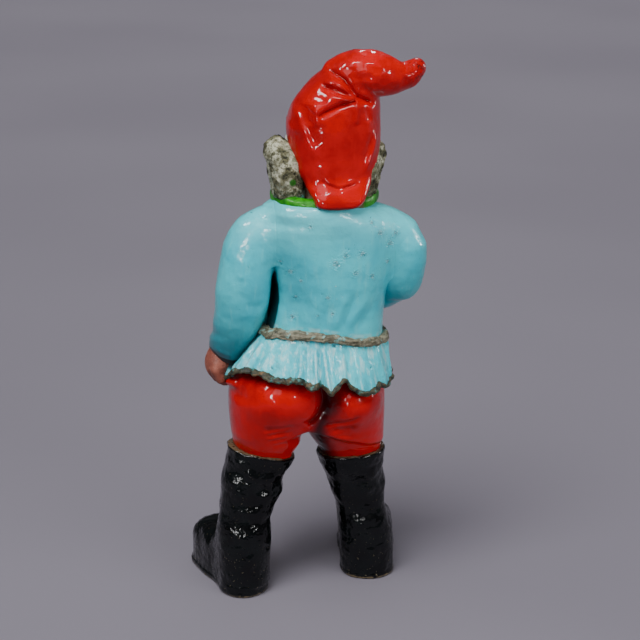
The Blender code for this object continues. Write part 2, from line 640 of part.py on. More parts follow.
# ---------------------------------------------------------------- jacket buttons
BUTTON_RADIUS, BUTTON_X = 0.0062, -0.0190
for name, z in (("button_upper", 0.4830), ("button_middle", 0.4520), ("button_lower", 0.4200)):
    cx, rx, rf, rb = mix(JACKET, z)
    front = -rf * (1 - (abs(BUTTON_X - cx) / rx) ** 2.25) ** (1 / 2.25)
    dome = []
    for step, (out, share) in enumerate(((-0.0040, 1.0), (0.0015, 1.0), (0.0032, 0.82), (0.0042, 0.45))):
        dome.append([Vector((BUTTON_X + BUTTON_RADIUS * share * math.cos(2 * math.pi * k / 12), front - out,
                             z + BUTTON_RADIUS * share * math.sin(2 * math.pi * k / 12))) for k in range(12)])
    button = loft(name, dome)
    boolean(button, loft(f"bed_of_jacket_in_{name}", jacket_rings(CUT_GROW)))
    finish(button, "brass_paint")

# ---------------------------------------------------------------- sleeves and hands
# z, outer X, inner X, middle Y, half depth
LEFT_SLEEVE = (
    (0.3560, 0.1480, 0.0960, -0.0060, 0.0270),
    (0.3640, 0.1515, 0.0860, -0.0050, 0.0330),
    (0.3760, 0.1510, 0.0790, -0.0020, 0.0360),
    (0.3900, 0.1465, 0.0750, 0.0010, 0.0370),
    (0.4050, 0.1445, 0.0710, 0.0040, 0.0380),
    (0.4260, 0.1415, 0.0665, 0.0060, 0.0385),
    (0.4500, 0.1400, 0.0625, 0.0070, 0.0390),
    (0.4740, 0.1360, 0.0600, 0.0070, 0.0390),
    (0.4980, 0.1320, 0.0550, 0.0060, 0.0390),
    (0.5210, 0.1270, 0.0450, 0.0040, 0.0385),
    (0.5330, 0.1215, 0.0300, 0.0030, 0.0390),
    (0.5450, 0.1150, 0.0250, 0.0030, 0.0380),
    (0.5560, 0.1040, 0.0220, 0.0030, 0.0350),
    (0.5660, 0.0880, 0.0220, 0.0030, 0.0300),
    (0.5720, 0.0720, 0.0240, 0.0030, 0.0220),
)
RIGHT_SLEEVE = (
    (0.4250, -0.1300, -0.1060, -0.0060, 0.0140),
    (0.4320, -0.1420, -0.0950, -0.0040, 0.0240),
    (0.4420, -0.1480, -0.0880, 0.0000, 0.0310),
    (0.4560, -0.1520, -0.0850, 0.0030, 0.0350),
    (0.4740, -0.1560, -0.0850, 0.0050, 0.0370),
    (0.4980, -0.1590, -0.0870, 0.0060, 0.0380),
    (0.5150, -0.1580, -0.0820, 0.0050, 0.0390),
    (0.5330, -0.1510, -0.0760, 0.0040, 0.0390),
    (0.5450, -0.1440, -0.0700, 0.0030, 0.0380),
    (0.5560, -0.1320, -0.0660, 0.0030, 0.0350),
    (0.5660, -0.1150, -0.0640, 0.0030, 0.0300),
)
RIGHT_FOREARM = ((-0.1200, 0.0030, 0.4640), (-0.1190, -0.0250, 0.4600), (-0.1110, -0.0500, 0.4530),
                 (-0.0970, -0.0740, 0.4450), (-0.0800, -0.0930, 0.4360), (-0.0640, -0.1040, 0.4280))
RIGHT_FOREARM_RADII = (0.0300, 0.0340, 0.0330, 0.0310, 0.0290, 0.0265)
LEFT_HAND = ((0.1255, -0.0060, 0.3570), (0.1335, -0.0110, 0.3460), (0.1390, -0.0160, 0.3340), (0.1380, -0.0190, 0.3220),
             (0.1350, -0.0200, 0.3130))
LEFT_HAND_RADII = (0.0165, 0.0185, 0.0200, 0.0165, 0.0090)
RIGHT_HAND = ((-0.0680, -0.1015, 0.4300), (-0.0560, -0.1070, 0.4250), (-0.0440, -0.1080, 0.4210),
              (-0.0320, -0.1055, 0.4180), (-0.0230, -0.1020, 0.4170))
RIGHT_HAND_RADII = (0.0165, 0.0185, 0.0200, 0.0180, 0.0100)


def sleeve_rings(rows):
    return [ring((outer + inner) / 2, cy, z, abs(outer - inner) / 2, ry, ry, n=20, e=2.2)
            for z, outer, inner, cy, ry in rows]


left_sleeve = loft("left_sleeve", sleeve_rings(LEFT_SLEEVE))
boolean(left_sleeve, block("left_shoulder_face", (SHOULDER_LEFT_X + JOINT_GAP - 0.0500, 0.0, 0.5200),
                           (0.1000, 0.2000, 0.1200)))
boolean(left_sleeve, loft("bed_of_jacket_in_left_sleeve", jacket_rings(CUT_GROW)))
boolean(left_sleeve, closed_loop("bed_of_skirt_in_left_sleeve", skirt_rings(CUT_GROW)))
boolean(left_sleeve, closed_loop("bed_of_belt_in_left_sleeve", belt_rings(CUT_GROW)))
boolean(left_sleeve, loft("bed_of_left_hand", path_rings(LEFT_HAND, LEFT_HAND_RADII, n=14, grow=CUT_GROW)))
drill(left_sleeve, (0.0400, *SHOULDER_BAR), (0.0862, *SHOULDER_BAR), BAR_RADIUS, "shoulder_left")
drill(left_sleeve, LEFT_ARM_LINE[0], along(LEFT_ARM_LINE, 1.01), ARM_WIRE_RADIUS, "arm_left")
finish(left_sleeve, "turquoise_gloss")

left_hand = loft("left_hand", path_rings(LEFT_HAND, LEFT_HAND_RADII, n=14))
boolean(left_hand, closed_loop("bed_of_skirt_in_left_hand", skirt_rings(CUT_GROW)))
boolean(left_hand, loft("bed_of_pocket_in_left_hand", path_rings(LEFT_POCKET, LEFT_POCKET_RADII, n=12, grow=CUT_GROW)))
drill(left_hand, along(LEFT_ARM_LINE, -0.01), LEFT_ARM_LINE[1], ARM_WIRE_RADIUS, "wrist_left")
finish(left_hand, "flesh_paint")

right_sleeve = loft("right_sleeve", sleeve_rings(RIGHT_SLEEVE))
boolean(right_sleeve, block("right_shoulder_face", (SHOULDER_RIGHT_X - JOINT_GAP + 0.0500, 0.0, 0.5320),
                            (0.1000, 0.2000, 0.1400)))
boolean(right_sleeve, loft("right_forearm", path_rings(RIGHT_FOREARM, RIGHT_FOREARM_RADII, n=20)), "UNION")
boolean(right_sleeve, loft("bed_of_jacket_in_right_sleeve", jacket_rings(CUT_GROW)))
boolean(right_sleeve, loft("bed_of_right_hand", path_rings(RIGHT_HAND, RIGHT_HAND_RADII, n=14, grow=CUT_GROW)))
drill(right_sleeve, (-0.0900, *SHOULDER_BAR), (-0.1302, *SHOULDER_BAR), BAR_RADIUS, "shoulder_right")
drill(right_sleeve, RIGHT_ARM_LINE[0], along(RIGHT_ARM_LINE, 1.01), ARM_WIRE_RADIUS, "arm_right")
finish(right_sleeve, "turquoise_gloss")

right_hand = loft("right_hand", path_rings(RIGHT_HAND, RIGHT_HAND_RADII, n=14))
boolean(right_hand, loft("bed_of_jacket_in_right_hand", jacket_rings(CUT_GROW)))
boolean(right_hand, closed_loop("bed_of_belt_in_right_hand", belt_rings(CUT_GROW)))
drill(right_hand, along(RIGHT_ARM_LINE, -0.01), RIGHT_ARM_LINE[1], ARM_WIRE_RADIUS, "wrist_right")
finish(right_hand, "flesh_paint")

# ---------------------------------------------------------------- armature bars
for name, line, radius in (
    ("spine_rod", SPINE, SPINE_RADIUS),
    ("shoulder_rod", SHOULDER_LINE, BAR_RADIUS),
    ("left_leg_rod", LEFT_LEG_BAR, BAR_RADIUS),
    ("right_leg_rod", RIGHT_LEG_BAR, BAR_RADIUS),
    ("left_arm_wire", LEFT_ARM_LINE, ARM_WIRE_RADIUS),
    ("right_arm_wire", RIGHT_ARM_LINE, ARM_WIRE_RADIUS),
):
    finish(rod(name, line[0], line[1], radius, n=12), "armature_steel")
finish(block("hip_bar", HIP_BAR_CENTRE, HIP_BAR_SIZE, bevel=0.0008), "armature_steel", smooth=False)
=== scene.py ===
"""Finished look of the garden gnome: each cast section is modelled as a solid field, turned into a
fine mesh, roughened like brushed cement and painted with procedural materials."""

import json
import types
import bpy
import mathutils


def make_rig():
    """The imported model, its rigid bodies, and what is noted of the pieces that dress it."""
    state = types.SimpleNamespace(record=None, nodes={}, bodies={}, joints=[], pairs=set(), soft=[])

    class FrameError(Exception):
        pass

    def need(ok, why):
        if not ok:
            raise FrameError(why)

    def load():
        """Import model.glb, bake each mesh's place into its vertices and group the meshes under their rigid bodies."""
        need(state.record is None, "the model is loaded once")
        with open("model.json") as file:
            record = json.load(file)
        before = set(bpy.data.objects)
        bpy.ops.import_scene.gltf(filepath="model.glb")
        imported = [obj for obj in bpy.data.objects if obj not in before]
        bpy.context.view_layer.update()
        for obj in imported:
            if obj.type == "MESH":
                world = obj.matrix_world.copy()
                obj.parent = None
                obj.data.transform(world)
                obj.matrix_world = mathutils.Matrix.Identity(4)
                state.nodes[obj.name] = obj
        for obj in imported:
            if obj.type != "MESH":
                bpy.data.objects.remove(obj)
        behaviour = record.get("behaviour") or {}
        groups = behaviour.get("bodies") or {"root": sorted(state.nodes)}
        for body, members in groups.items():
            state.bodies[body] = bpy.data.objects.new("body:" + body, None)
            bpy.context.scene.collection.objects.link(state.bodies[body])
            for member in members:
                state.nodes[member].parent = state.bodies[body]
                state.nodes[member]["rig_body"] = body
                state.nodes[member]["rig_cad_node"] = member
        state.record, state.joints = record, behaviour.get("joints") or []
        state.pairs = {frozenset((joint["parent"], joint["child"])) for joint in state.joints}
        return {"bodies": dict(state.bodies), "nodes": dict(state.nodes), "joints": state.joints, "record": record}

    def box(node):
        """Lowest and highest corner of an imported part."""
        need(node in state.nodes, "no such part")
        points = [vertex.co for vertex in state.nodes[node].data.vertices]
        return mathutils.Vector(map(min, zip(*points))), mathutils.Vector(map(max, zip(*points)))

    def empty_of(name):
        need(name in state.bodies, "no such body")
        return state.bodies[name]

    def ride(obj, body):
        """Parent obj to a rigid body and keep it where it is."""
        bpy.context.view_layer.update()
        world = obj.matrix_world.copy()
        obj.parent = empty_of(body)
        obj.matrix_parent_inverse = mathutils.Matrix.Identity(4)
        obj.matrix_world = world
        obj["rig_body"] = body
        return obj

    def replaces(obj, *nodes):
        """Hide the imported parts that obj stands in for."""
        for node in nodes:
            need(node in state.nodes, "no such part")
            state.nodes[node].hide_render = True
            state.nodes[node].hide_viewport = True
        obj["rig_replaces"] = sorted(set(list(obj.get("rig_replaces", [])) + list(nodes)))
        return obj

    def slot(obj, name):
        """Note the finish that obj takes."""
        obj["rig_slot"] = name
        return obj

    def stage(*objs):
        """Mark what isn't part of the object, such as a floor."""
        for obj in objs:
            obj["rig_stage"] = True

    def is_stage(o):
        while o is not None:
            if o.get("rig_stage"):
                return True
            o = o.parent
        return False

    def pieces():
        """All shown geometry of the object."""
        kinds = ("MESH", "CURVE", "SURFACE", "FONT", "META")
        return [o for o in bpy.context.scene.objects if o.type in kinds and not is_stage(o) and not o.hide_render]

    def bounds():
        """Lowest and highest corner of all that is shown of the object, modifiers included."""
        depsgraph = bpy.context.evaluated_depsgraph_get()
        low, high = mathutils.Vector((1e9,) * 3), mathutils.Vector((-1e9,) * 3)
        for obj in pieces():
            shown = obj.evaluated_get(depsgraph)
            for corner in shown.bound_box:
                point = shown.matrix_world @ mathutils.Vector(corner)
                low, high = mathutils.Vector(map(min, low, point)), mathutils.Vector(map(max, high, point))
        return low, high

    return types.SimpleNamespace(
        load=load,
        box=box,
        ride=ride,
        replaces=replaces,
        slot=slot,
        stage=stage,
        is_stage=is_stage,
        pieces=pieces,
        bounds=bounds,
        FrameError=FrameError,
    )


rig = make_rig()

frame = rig.load()

import json
import math
from concurrent.futures import ThreadPoolExecutor

import bpy
import numpy as np
from mathutils import Matrix, Vector

CAD_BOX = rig.bounds()
CELL = 0.0013            # grid step of the field meshes

# The fields are written around the body axis; the frame's own origin is the middle of the footprint.
lo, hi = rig.box("spine_rod")
SHIFT = np.array([(lo.x + hi.x) / 2 + 0.0180, (lo.y + hi.y) / 2 + 0.0020, 0.0])


# ================================================================ field helpers
def smin(a, b, k):
    h = np.clip(0.5 + 0.5 * (b - a) / k, 0.0, 1.0)
    return b + (a - b) * h - k * h * (1.0 - h)


def smax(a, b, k):
    return -smin(-a, -b, k)


def smooth(t):
    t = np.clip(t, 0.0, 1.0)
    return t * t * (3.0 - 2.0 * t)


def band(v, lo, hi, edge):
    """1 between lo and hi, 0 outside, with soft edges."""
    return smooth((v - lo) / edge + 0.5) * smooth((hi - v) / edge + 0.5)


class Table:
    """Rows of (key, values...), read with a smooth curve that never overshoots."""

    def __init__(self, *rows):
        a = np.array(rows, float)
        a = a[np.argsort(a[:, 0])]
        self.k, self.v = a[:, 0], a[:, 1:]
        h = np.diff(self.k)[:, None]
        d = np.diff(self.v, axis=0) / h
        m = np.zeros_like(self.v)
        m[0], m[-1] = d[0], d[-1]
        if len(a) > 2:
            same = d[:-1] * d[1:] > 0
            w1, w2 = 2 * h[1:] + h[:-1], h[1:] + 2 * h[:-1]
            with np.errstate(divide="ignore", invalid="ignore"):
                mean = (w1 + w2) / (w1 / d[:-1] + w2 / d[1:])
            m[1:-1] = np.where(same, mean, 0.0)
        self.m = m

    def __call__(self, k):
        k = np.clip(k, self.k[0], self.k[-1])
        i = np.clip(np.searchsorted(self.k, k) - 1, 0, len(self.k) - 2)
        h = (self.k[i + 1] - self.k[i])
        t = ((k - self.k[i]) / h)[:, None]
        h = h[:, None]
        return (self.v[i] * (1 + 2 * t) * (1 - t) ** 2 + self.m[i] * h * t * (1 - t) ** 2
                + self.v[i + 1] * t * t * (3 - 2 * t) + self.m[i + 1] * h * t * t * (t - 1))


def tower(P, table, e=2.2):
    """Stacked level sections. Table columns: +X edge, -X edge, front edge, back edge."""
    c = table(P[:, 2])
    cx, rx = (c[:, 0] + c[:, 1]) / 2, (c[:, 0] - c[:, 1]) / 2
    cy, ry = (c[:, 2] + c[:, 3]) / 2, (c[:, 3] - c[:, 2]) / 2
    x, y = P[:, 0] - cx, P[:, 1] - cy
    r = np.hypot(x, y) + 1e-6
    rho = (np.abs(x / rx) ** e + np.abs(y / ry) ** e) ** (1 / e) + 1e-6
    return r - np.minimum(r / rho, np.maximum(rx, ry) * 1.5)


def spline(points, steps=4):
    """A smooth run through points with any number of columns."""
    p = np.array(points, float)
    if len(p) < 3:
        return p
    q = np.vstack([2 * p[0] - p[1], p, 2 * p[-1] - p[-2]])
    out = []
    for i in range(1, len(q) - 2):
        for s in range(steps):
            t = s / steps
            a, b, c, d = q[i - 1], q[i], q[i + 1], q[i + 2]
            out.append(0.5 * (2 * b + (c - a) * t + (2 * a - 5 * b + 4 * c - d) * t * t
                              + (3 * b - a - 3 * c + d) * t ** 3))
    out.append(p[-1])
    return np.array(out)


def near(P, points, margin):
    """Which points of P are close enough to a run of points to need its field."""
    p = np.array(points, float)[:, :3]
    return np.all((P > p.min(0) - margin) & (P < p.max(0) + margin), axis=1)


def chain(P, points, steps=4, squash=(1.0, 1.0, 1.0)):
    """A round bar of changing thickness: points are (x, y, z, radius)."""
    s = spline(points, steps)
    f = np.array(squash)
    q = s[:, :3] / f
    X = P / f
    best = np.full(len(P), 1e3)
    for a, b, ra, rb in zip(q, q[1:], s[:, 3], s[1:, 3]):
        ab = b - a
        t = np.clip((X - a) @ ab / (ab @ ab + 1e-12), 0, 1)
        d = np.sqrt((((X - a) - t[:, None] * ab) ** 2).sum(1)) - (ra + (rb - ra) * t)
        best = np.minimum(best, d)
    return best * min(squash)


def path_distance(q, points, steps=5):
    """Flat distance to a run of points, its side (above 0 on the left of the run) and how far along."""
    s = spline(points, steps)
    best, where, sign = np.full(len(q), 1e3), np.zeros(len(q)), np.ones(len(q))
    n = len(s) - 1
    for i, (a, b) in enumerate(zip(s, s[1:])):
        ab = b - a
        w = q - a
        t = np.clip(w @ ab / (ab @ ab + 1e-12), 0, 1)
        d = np.sqrt(((w - t[:, None] * ab) ** 2).sum(1))
        closer = d < best
        best = np.where(closer, d, best)
        where = np.where(closer, (i + t) / n, where)
        sign = np.where(closer, np.sign(ab[0] * w[:, 1] - ab[1] * w[:, 0]), sign)
    return best, sign, where


def fold(P, d, points, width, depth, side=1, sharp=1.7, ends=0.22, lap=0.0, reach=0.012):
    """Presses a groove (depth above 0) or raises a ridge (below 0) along a run of (x, z) points on
    the back (side 1) or the front (side -1). With lap, the cloth on the run's left side stands
    proud at the line and dies away over reach."""
    p = np.array(points, float)
    m0 = max(width * 3, reach * 2.2 if lap else 0)
    m = (P[:, 1] * side > -0.004) & np.all((P[:, [0, 2]] > p.min(0) - m0) & (P[:, [0, 2]] < p.max(0) + m0), axis=1)
    if not m.any():
        return d
    q = P[m][:, [0, 2]]
    dist, sign, along = path_distance(q, p)
    fade = smooth(np.minimum(along, 1 - along) / ends) * smooth(P[m][:, 1] * side / 0.016 + 0.3)
    add = depth * np.exp(-(dist / width) ** sharp) * fade
    if lap:
        add = add - lap * np.exp(-(dist / reach) ** 1.5) * smooth(0.5 + sign * dist / 0.0030) * fade
    d = d.copy()
    d[m] += add
    return d


def ball(P, centre, radii, yaw=0.0, pitch=0.0, roll=0.0):
    q = P - np.array(centre)
    if yaw or pitch or roll:
        m = np.array(Matrix.Rotation(yaw, 3, "Z") @ Matrix.Rotation(pitch, 3, "X") @ Matrix.Rotation(roll, 3, "Y"))
        q = q @ m
    r = np.array(radii, float)
    k0 = np.sqrt(((q / r) ** 2).sum(1)) + 1e-9
    k1 = np.sqrt(((q / (r * r)) ** 2).sum(1)) + 1e-9
    return k0 * (k0 - 1.0) / k1


def hash3(i, j, k, seed):
    n = (i * 374761393 + j * 668265263 + k * 2147483647 + seed * 1274126177) & 0xFFFFFFFF
    n = ((n ^ (n >> 13)) * 1274126177) & 0xFFFFFFFF
    n = ((n ^ (n >> 15)) * 2246822519) & 0xFFFFFFFF
    return ((n ^ (n >> 16)) & 0xFFFFFF) / float(0xFFFFFF)


def noise(P, size, seed=0):
    """Smooth value noise from -1 to 1."""
    q = P / size + 1000.0
    i = np.floor(q).astype(np.int64)
    f = q - i
    f = f * f * f * (f * (f * 6 - 15) + 10)
    total = 0.0
    for dx in (0, 1):
        wx = f[:, 0] if dx else 1 - f[:, 0]
        for dy in (0, 1):
            wy = f[:, 1] if dy else 1 - f[:, 1]
            for dz in (0, 1):
                wz = f[:, 2] if dz else 1 - f[:, 2]
                total = total + wx * wy * wz * hash3(i[:, 0] + dx, i[:, 1] + dy, i[:, 2] + dz, seed)
    return total * 2 - 1


def fbm(P, size, octaves=3, seed=0):
    total, amp = 0.0, 1.0
    for o in range(octaves):
        total = total + amp * noise(P, size / 2 ** o, seed + 17 * o)
        amp *= 0.5
    return total / 1.75


# ================================================================ field to mesh
def surface(field, low, high, cell, block=8):
    """Surface nets over only the blocks that the field's zero passes through."""
    low = np.floor(np.array(low) / cell) * cell
    high = np.array(high)
    size = cell * block
    big = size * 3
    n = np.ceil((high - low) / big).astype(int)
    grid = np.stack(np.meshgrid(*[np.arange(v) for v in n], indexing="ij"), -1).reshape(-1, 3)
    d = field(low + (grid + 0.5) * big)
    grid = grid[np.abs(d) < big * 0.866 * 1.6]
    sub = np.stack(np.meshgrid(*[np.arange(3)] * 3, indexing="ij"), -1).reshape(-1, 3)
    blocks = (grid[:, None, :] * 3 + sub[None]).reshape(-1, 3)
    d = field(low + (blocks + 0.5) * size)
    blocks = blocks[np.abs(d) < size * 0.866 * 1.6 + 0.002]
    m = block + 1
    offs = np.stack(np.meshgrid(*[np.arange(m)] * 3, indexing="ij"), -1).reshape(-1, 3)
    cells_key, cells_pos, quads = [], [], []
    wide = 1 << 20

    def key(c):
        return (c[:, 0] * wide + c[:, 1]) * wide + c[:, 2]

    edges = []
    for s in range(0, len(blocks), 160):
        bl = blocks[s:s + 160]
        base = bl * block
        P = low + (base[:, None, :] + offs[None]) * cell
        v = field(P.reshape(-1, 3)).reshape(-1, m, m, m)
        inside = v < 0
        has = inside.reshape(len(bl), -1)
        use = has.any(1) & ~has.all(1)
        if not use.any():
            continue
        v, inside, base = v[use], inside[use], base[use]
        c = block
        corner = [inside[:, a:a + c, b:b + c, g:g + c] for a in (0, 1) for b in (0, 1) for g in (0, 1)]
        some, every = corner[0].copy(), corner[0].copy()
        for q in corner[1:]:
            some |= q
            every &= q
        idx = np.argwhere(some & ~every)
        bi, i, j, k = idx.T
        pos, cnt = np.zeros((len(idx), 3)), np.zeros(len(idx))
        for axis in range(3):
            for a in (0, 1):
                for b in (0, 1):
                    o0 = [0, 0, 0]
                    others = [x for x in range(3) if x != axis]
                    o0[others[0]], o0[others[1]] = a, b
                    o1 = list(o0)
                    o1[axis] = 1
                    v0 = v[bi, i + o0[0], j + o0[1], k + o0[2]]
                    v1 = v[bi, i + o1[0], j + o1[1], k + o1[2]]
                    cross = (v0 < 0) != (v1 < 0)
                    t = np.where(cross, v0 / np.where(cross, v0 - v1, 1.0), 0.0)
                    p = np.zeros((len(idx), 3))
                    for x in range(3):
                        p[:, x] = o0[x]
                    p[:, axis] = t
                    pos += p * cross[:, None]
                    cnt += cross
        pos /= cnt[:, None]
        cell_id = base[bi] + np.stack([i, j, k], 1)
        cells_key.append(key(cell_id))
        cells_pos.append(low + (cell_id + pos) * cell)
        for axis in range(3):
            sl0 = [slice(None), slice(0, c), slice(0, c), slice(0, c)]
            sl1 = list(sl0)
            sl1[axis + 1] = slice(1, c + 1)
            a, b = inside[tuple(sl0)], inside[tuple(sl1)]
            e = np.argwhere(a != b)
            g = base[e[:, 0]] + e[:, 1:]
            flip = b[tuple(e.T)]
            edges.append((axis, g, flip))
    keys = np.concatenate(cells_key)
    verts = np.concatenate(cells_pos)
    order = np.argsort(keys)
    keys, verts = keys[order], verts[order]
    for axis, g, flip in edges:
        u, w = (axis + 1) % 3, (axis + 2) % 3
        corners = []
        for du, dw in ((-1, -1), (0, -1), (0, 0), (-1, 0)):
            q = g.copy()
            q[:, u] += du
            q[:, w] += dw
            kq = key(q)
            at = np.clip(np.searchsorted(keys, kq), 0, len(keys) - 1)
            corners.append(np.where(keys[at] == kq, at, -1))
        q = np.stack(corners, 1)
        q[flip] = q[flip][:, ::-1]
        quads.append(q[(q >= 0).all(1)])
    quads = np.concatenate(quads)
    return verts, quads


def keep_largest(verts, quads):
    """Drops specks: only the biggest connected piece stays."""
    parent = np.arange(len(verts))
    for _ in range(200):
        m = parent[quads].min(1)
        new = parent.copy()
        np.minimum.at(new, quads.ravel(), np.repeat(m, 4))
        new = new[new]
        if (new == parent).all():
            break
        parent = new
    lab, cnt = np.unique(parent[quads[:, 0]], return_counts=True)
    best = lab[np.argmax(cnt)]
    q = quads[parent[quads[:, 0]] == best]
    used = np.unique(q)
    remap = np.full(len(verts), -1)
    remap[used] = np.arange(len(used))
    return verts[used], remap[q]


def relax(verts, quads, times=1, amount=0.5):
    n = len(verts)
    for _ in range(times):
        acc, cnt = np.zeros((n, 3)), np.zeros(n)
        for a in range(4):
            i, j = quads[:, a], quads[:, (a + 1) % 4]
            for x in range(3):
                acc[:, x] += np.bincount(i, verts[j, x], n) + np.bincount(j, verts[i, x], n)
            cnt += np.bincount(i, minlength=n) + np.bincount(j, minlength=n)
        verts = verts + amount * (acc / np.maximum(cnt, 1)[:, None] - verts)
    return verts


def normals(verts, quads):
    a, b, c, d = (verts[quads[:, i]] for i in range(4))
    fn = np.cross(c - a, d - b)
    out = np.zeros_like(verts)
    for i in range(4):
        for x in range(3):
            out[:, x] += np.bincount(quads[:, i], fn[:, x], len(verts))
    return out / (np.linalg.norm(out, axis=1)[:, None] + 1e-12)


def spots(P, places, depth=0.9):
    """Blowholes in the back: places are (x, z, radius). Gives the press-in and a 0 to 1 mask."""
    press, mask = np.zeros(len(P)), np.zeros(len(P))
    for x, z, r in places:
        m = (P[:, 1] > 0) & (np.abs(P[:, 0] - x) < 3 * r) & (np.abs(P[:, 2] - z) < 3 * r)
        if m.any():
            q = P[m]
            wob = 1 + 0.35 * noise(q, 0.0022, int(x * 1e4) & 63)
            g = np.exp(-(((q[:, 0] - x) ** 2 + (q[:, 2] - z) ** 2) / (0.55 * r * r)) * wob)
            press[m] -= depth * r * g
            mask[m] = np.maximum(mask[m], g)
    return press, mask


def pores(P, cell, chance, r0, r1, seed):
    """Scattered small blowholes: one try in each jittered cell."""
    q = P / cell + 500.0
    base = np.floor(q).astype(np.int64)
    out = np.zeros(len(P))
    for dx in (-1, 0, 1):
        for dy in (-1, 0, 1):
            for dz in (-1, 0, 1):
                c = base + np.array([dx, dy, dz])
                h = [hash3(c[:, 0], c[:, 1], c[:, 2], seed + n) for n in range(5)]
                centre = (c + np.stack(h[:3], 1) - 500.0) * cell
                r = r0 + (r1 - r0) * h[3]
                d2 = ((P - centre) ** 2).sum(1)
                out = np.maximum(out, np.where(h[4] < chance, np.exp(-d2 / (0.5 * r * r)), 0.0))
    return out


# ================================================================ the sections
# Each *_field gives distance to the section's surface, below zero inside.
HEAD_X = -0.0210

# ---------------------------------------------------------------- cap
CAP_BODY = Table(
    (0.5800, 0.0070, -0.0535, 0.0350, 0.0765),
    (0.5850, 0.0085, -0.0548, 0.0320, 0.0790),
    (0.5920, 0.0100, -0.0610, 0.0240, 0.0788),
    (0.6000, 0.0140, -0.0652, 0.0150, 0.0755),
    (0.6080, 0.0180, -0.0700, 0.0080, 0.0705),
    (0.6150, 0.0210, -0.0742, 0.0010, 0.0668),
    (0.6260, 0.0285, -0.0795, -0.0080, 0.0645),
    (0.6440, 0.0345, -0.0870, -0.0260, 0.0640),
    (0.6650, 0.0390, -0.0910, -0.0480, 0.0650),
    (0.6850, 0.0400, -0.0930, -0.0640, 0.0645),
    (0.7000, 0.0370, -0.0930, -0.0680, 0.0630),
    (0.7140, 0.0325, -0.0925, -0.0640, 0.0610),
    (0.7260, 0.0260, -0.0910, -0.0590, 0.0590),
    (0.7370, 0.0180, -0.0885, -0.0520, 0.0560),
    (0.7480, 0.0085, -0.0830, -0.0450, 0.0530),
    (0.7590, -0.0035, -0.0810, -0.0380, 0.0500),
    (0.7700, -0.0160, -0.0790, -0.0300, 0.0460),
    (0.7820, -0.0300, -0.0760, -0.0180, 0.0400),
    (0.7920, -0.0450, -0.0690, -0.0030, 0.0310),
)
CAP_ROLL = ((-0.0300, 0.0080, 0.7620, 0.0210), (-0.0460, 0.0130, 0.7625, 0.0285), (-0.0650, 0.0190, 0.7625, 0.0328),
            (-0.0830, 0.0230, 0.7610, 0.0318), (-0.0990, 0.0250, 0.7580, 0.0268), (-0.1130, 0.0250, 0.7565, 0.0208),
            (-0.1260, 0.0245, 0.7595, 0.0172), (-0.1350, 0.0240, 0.7650, 0.0140), (-0.1400, 0.0240, 0.7690, 0.0105))


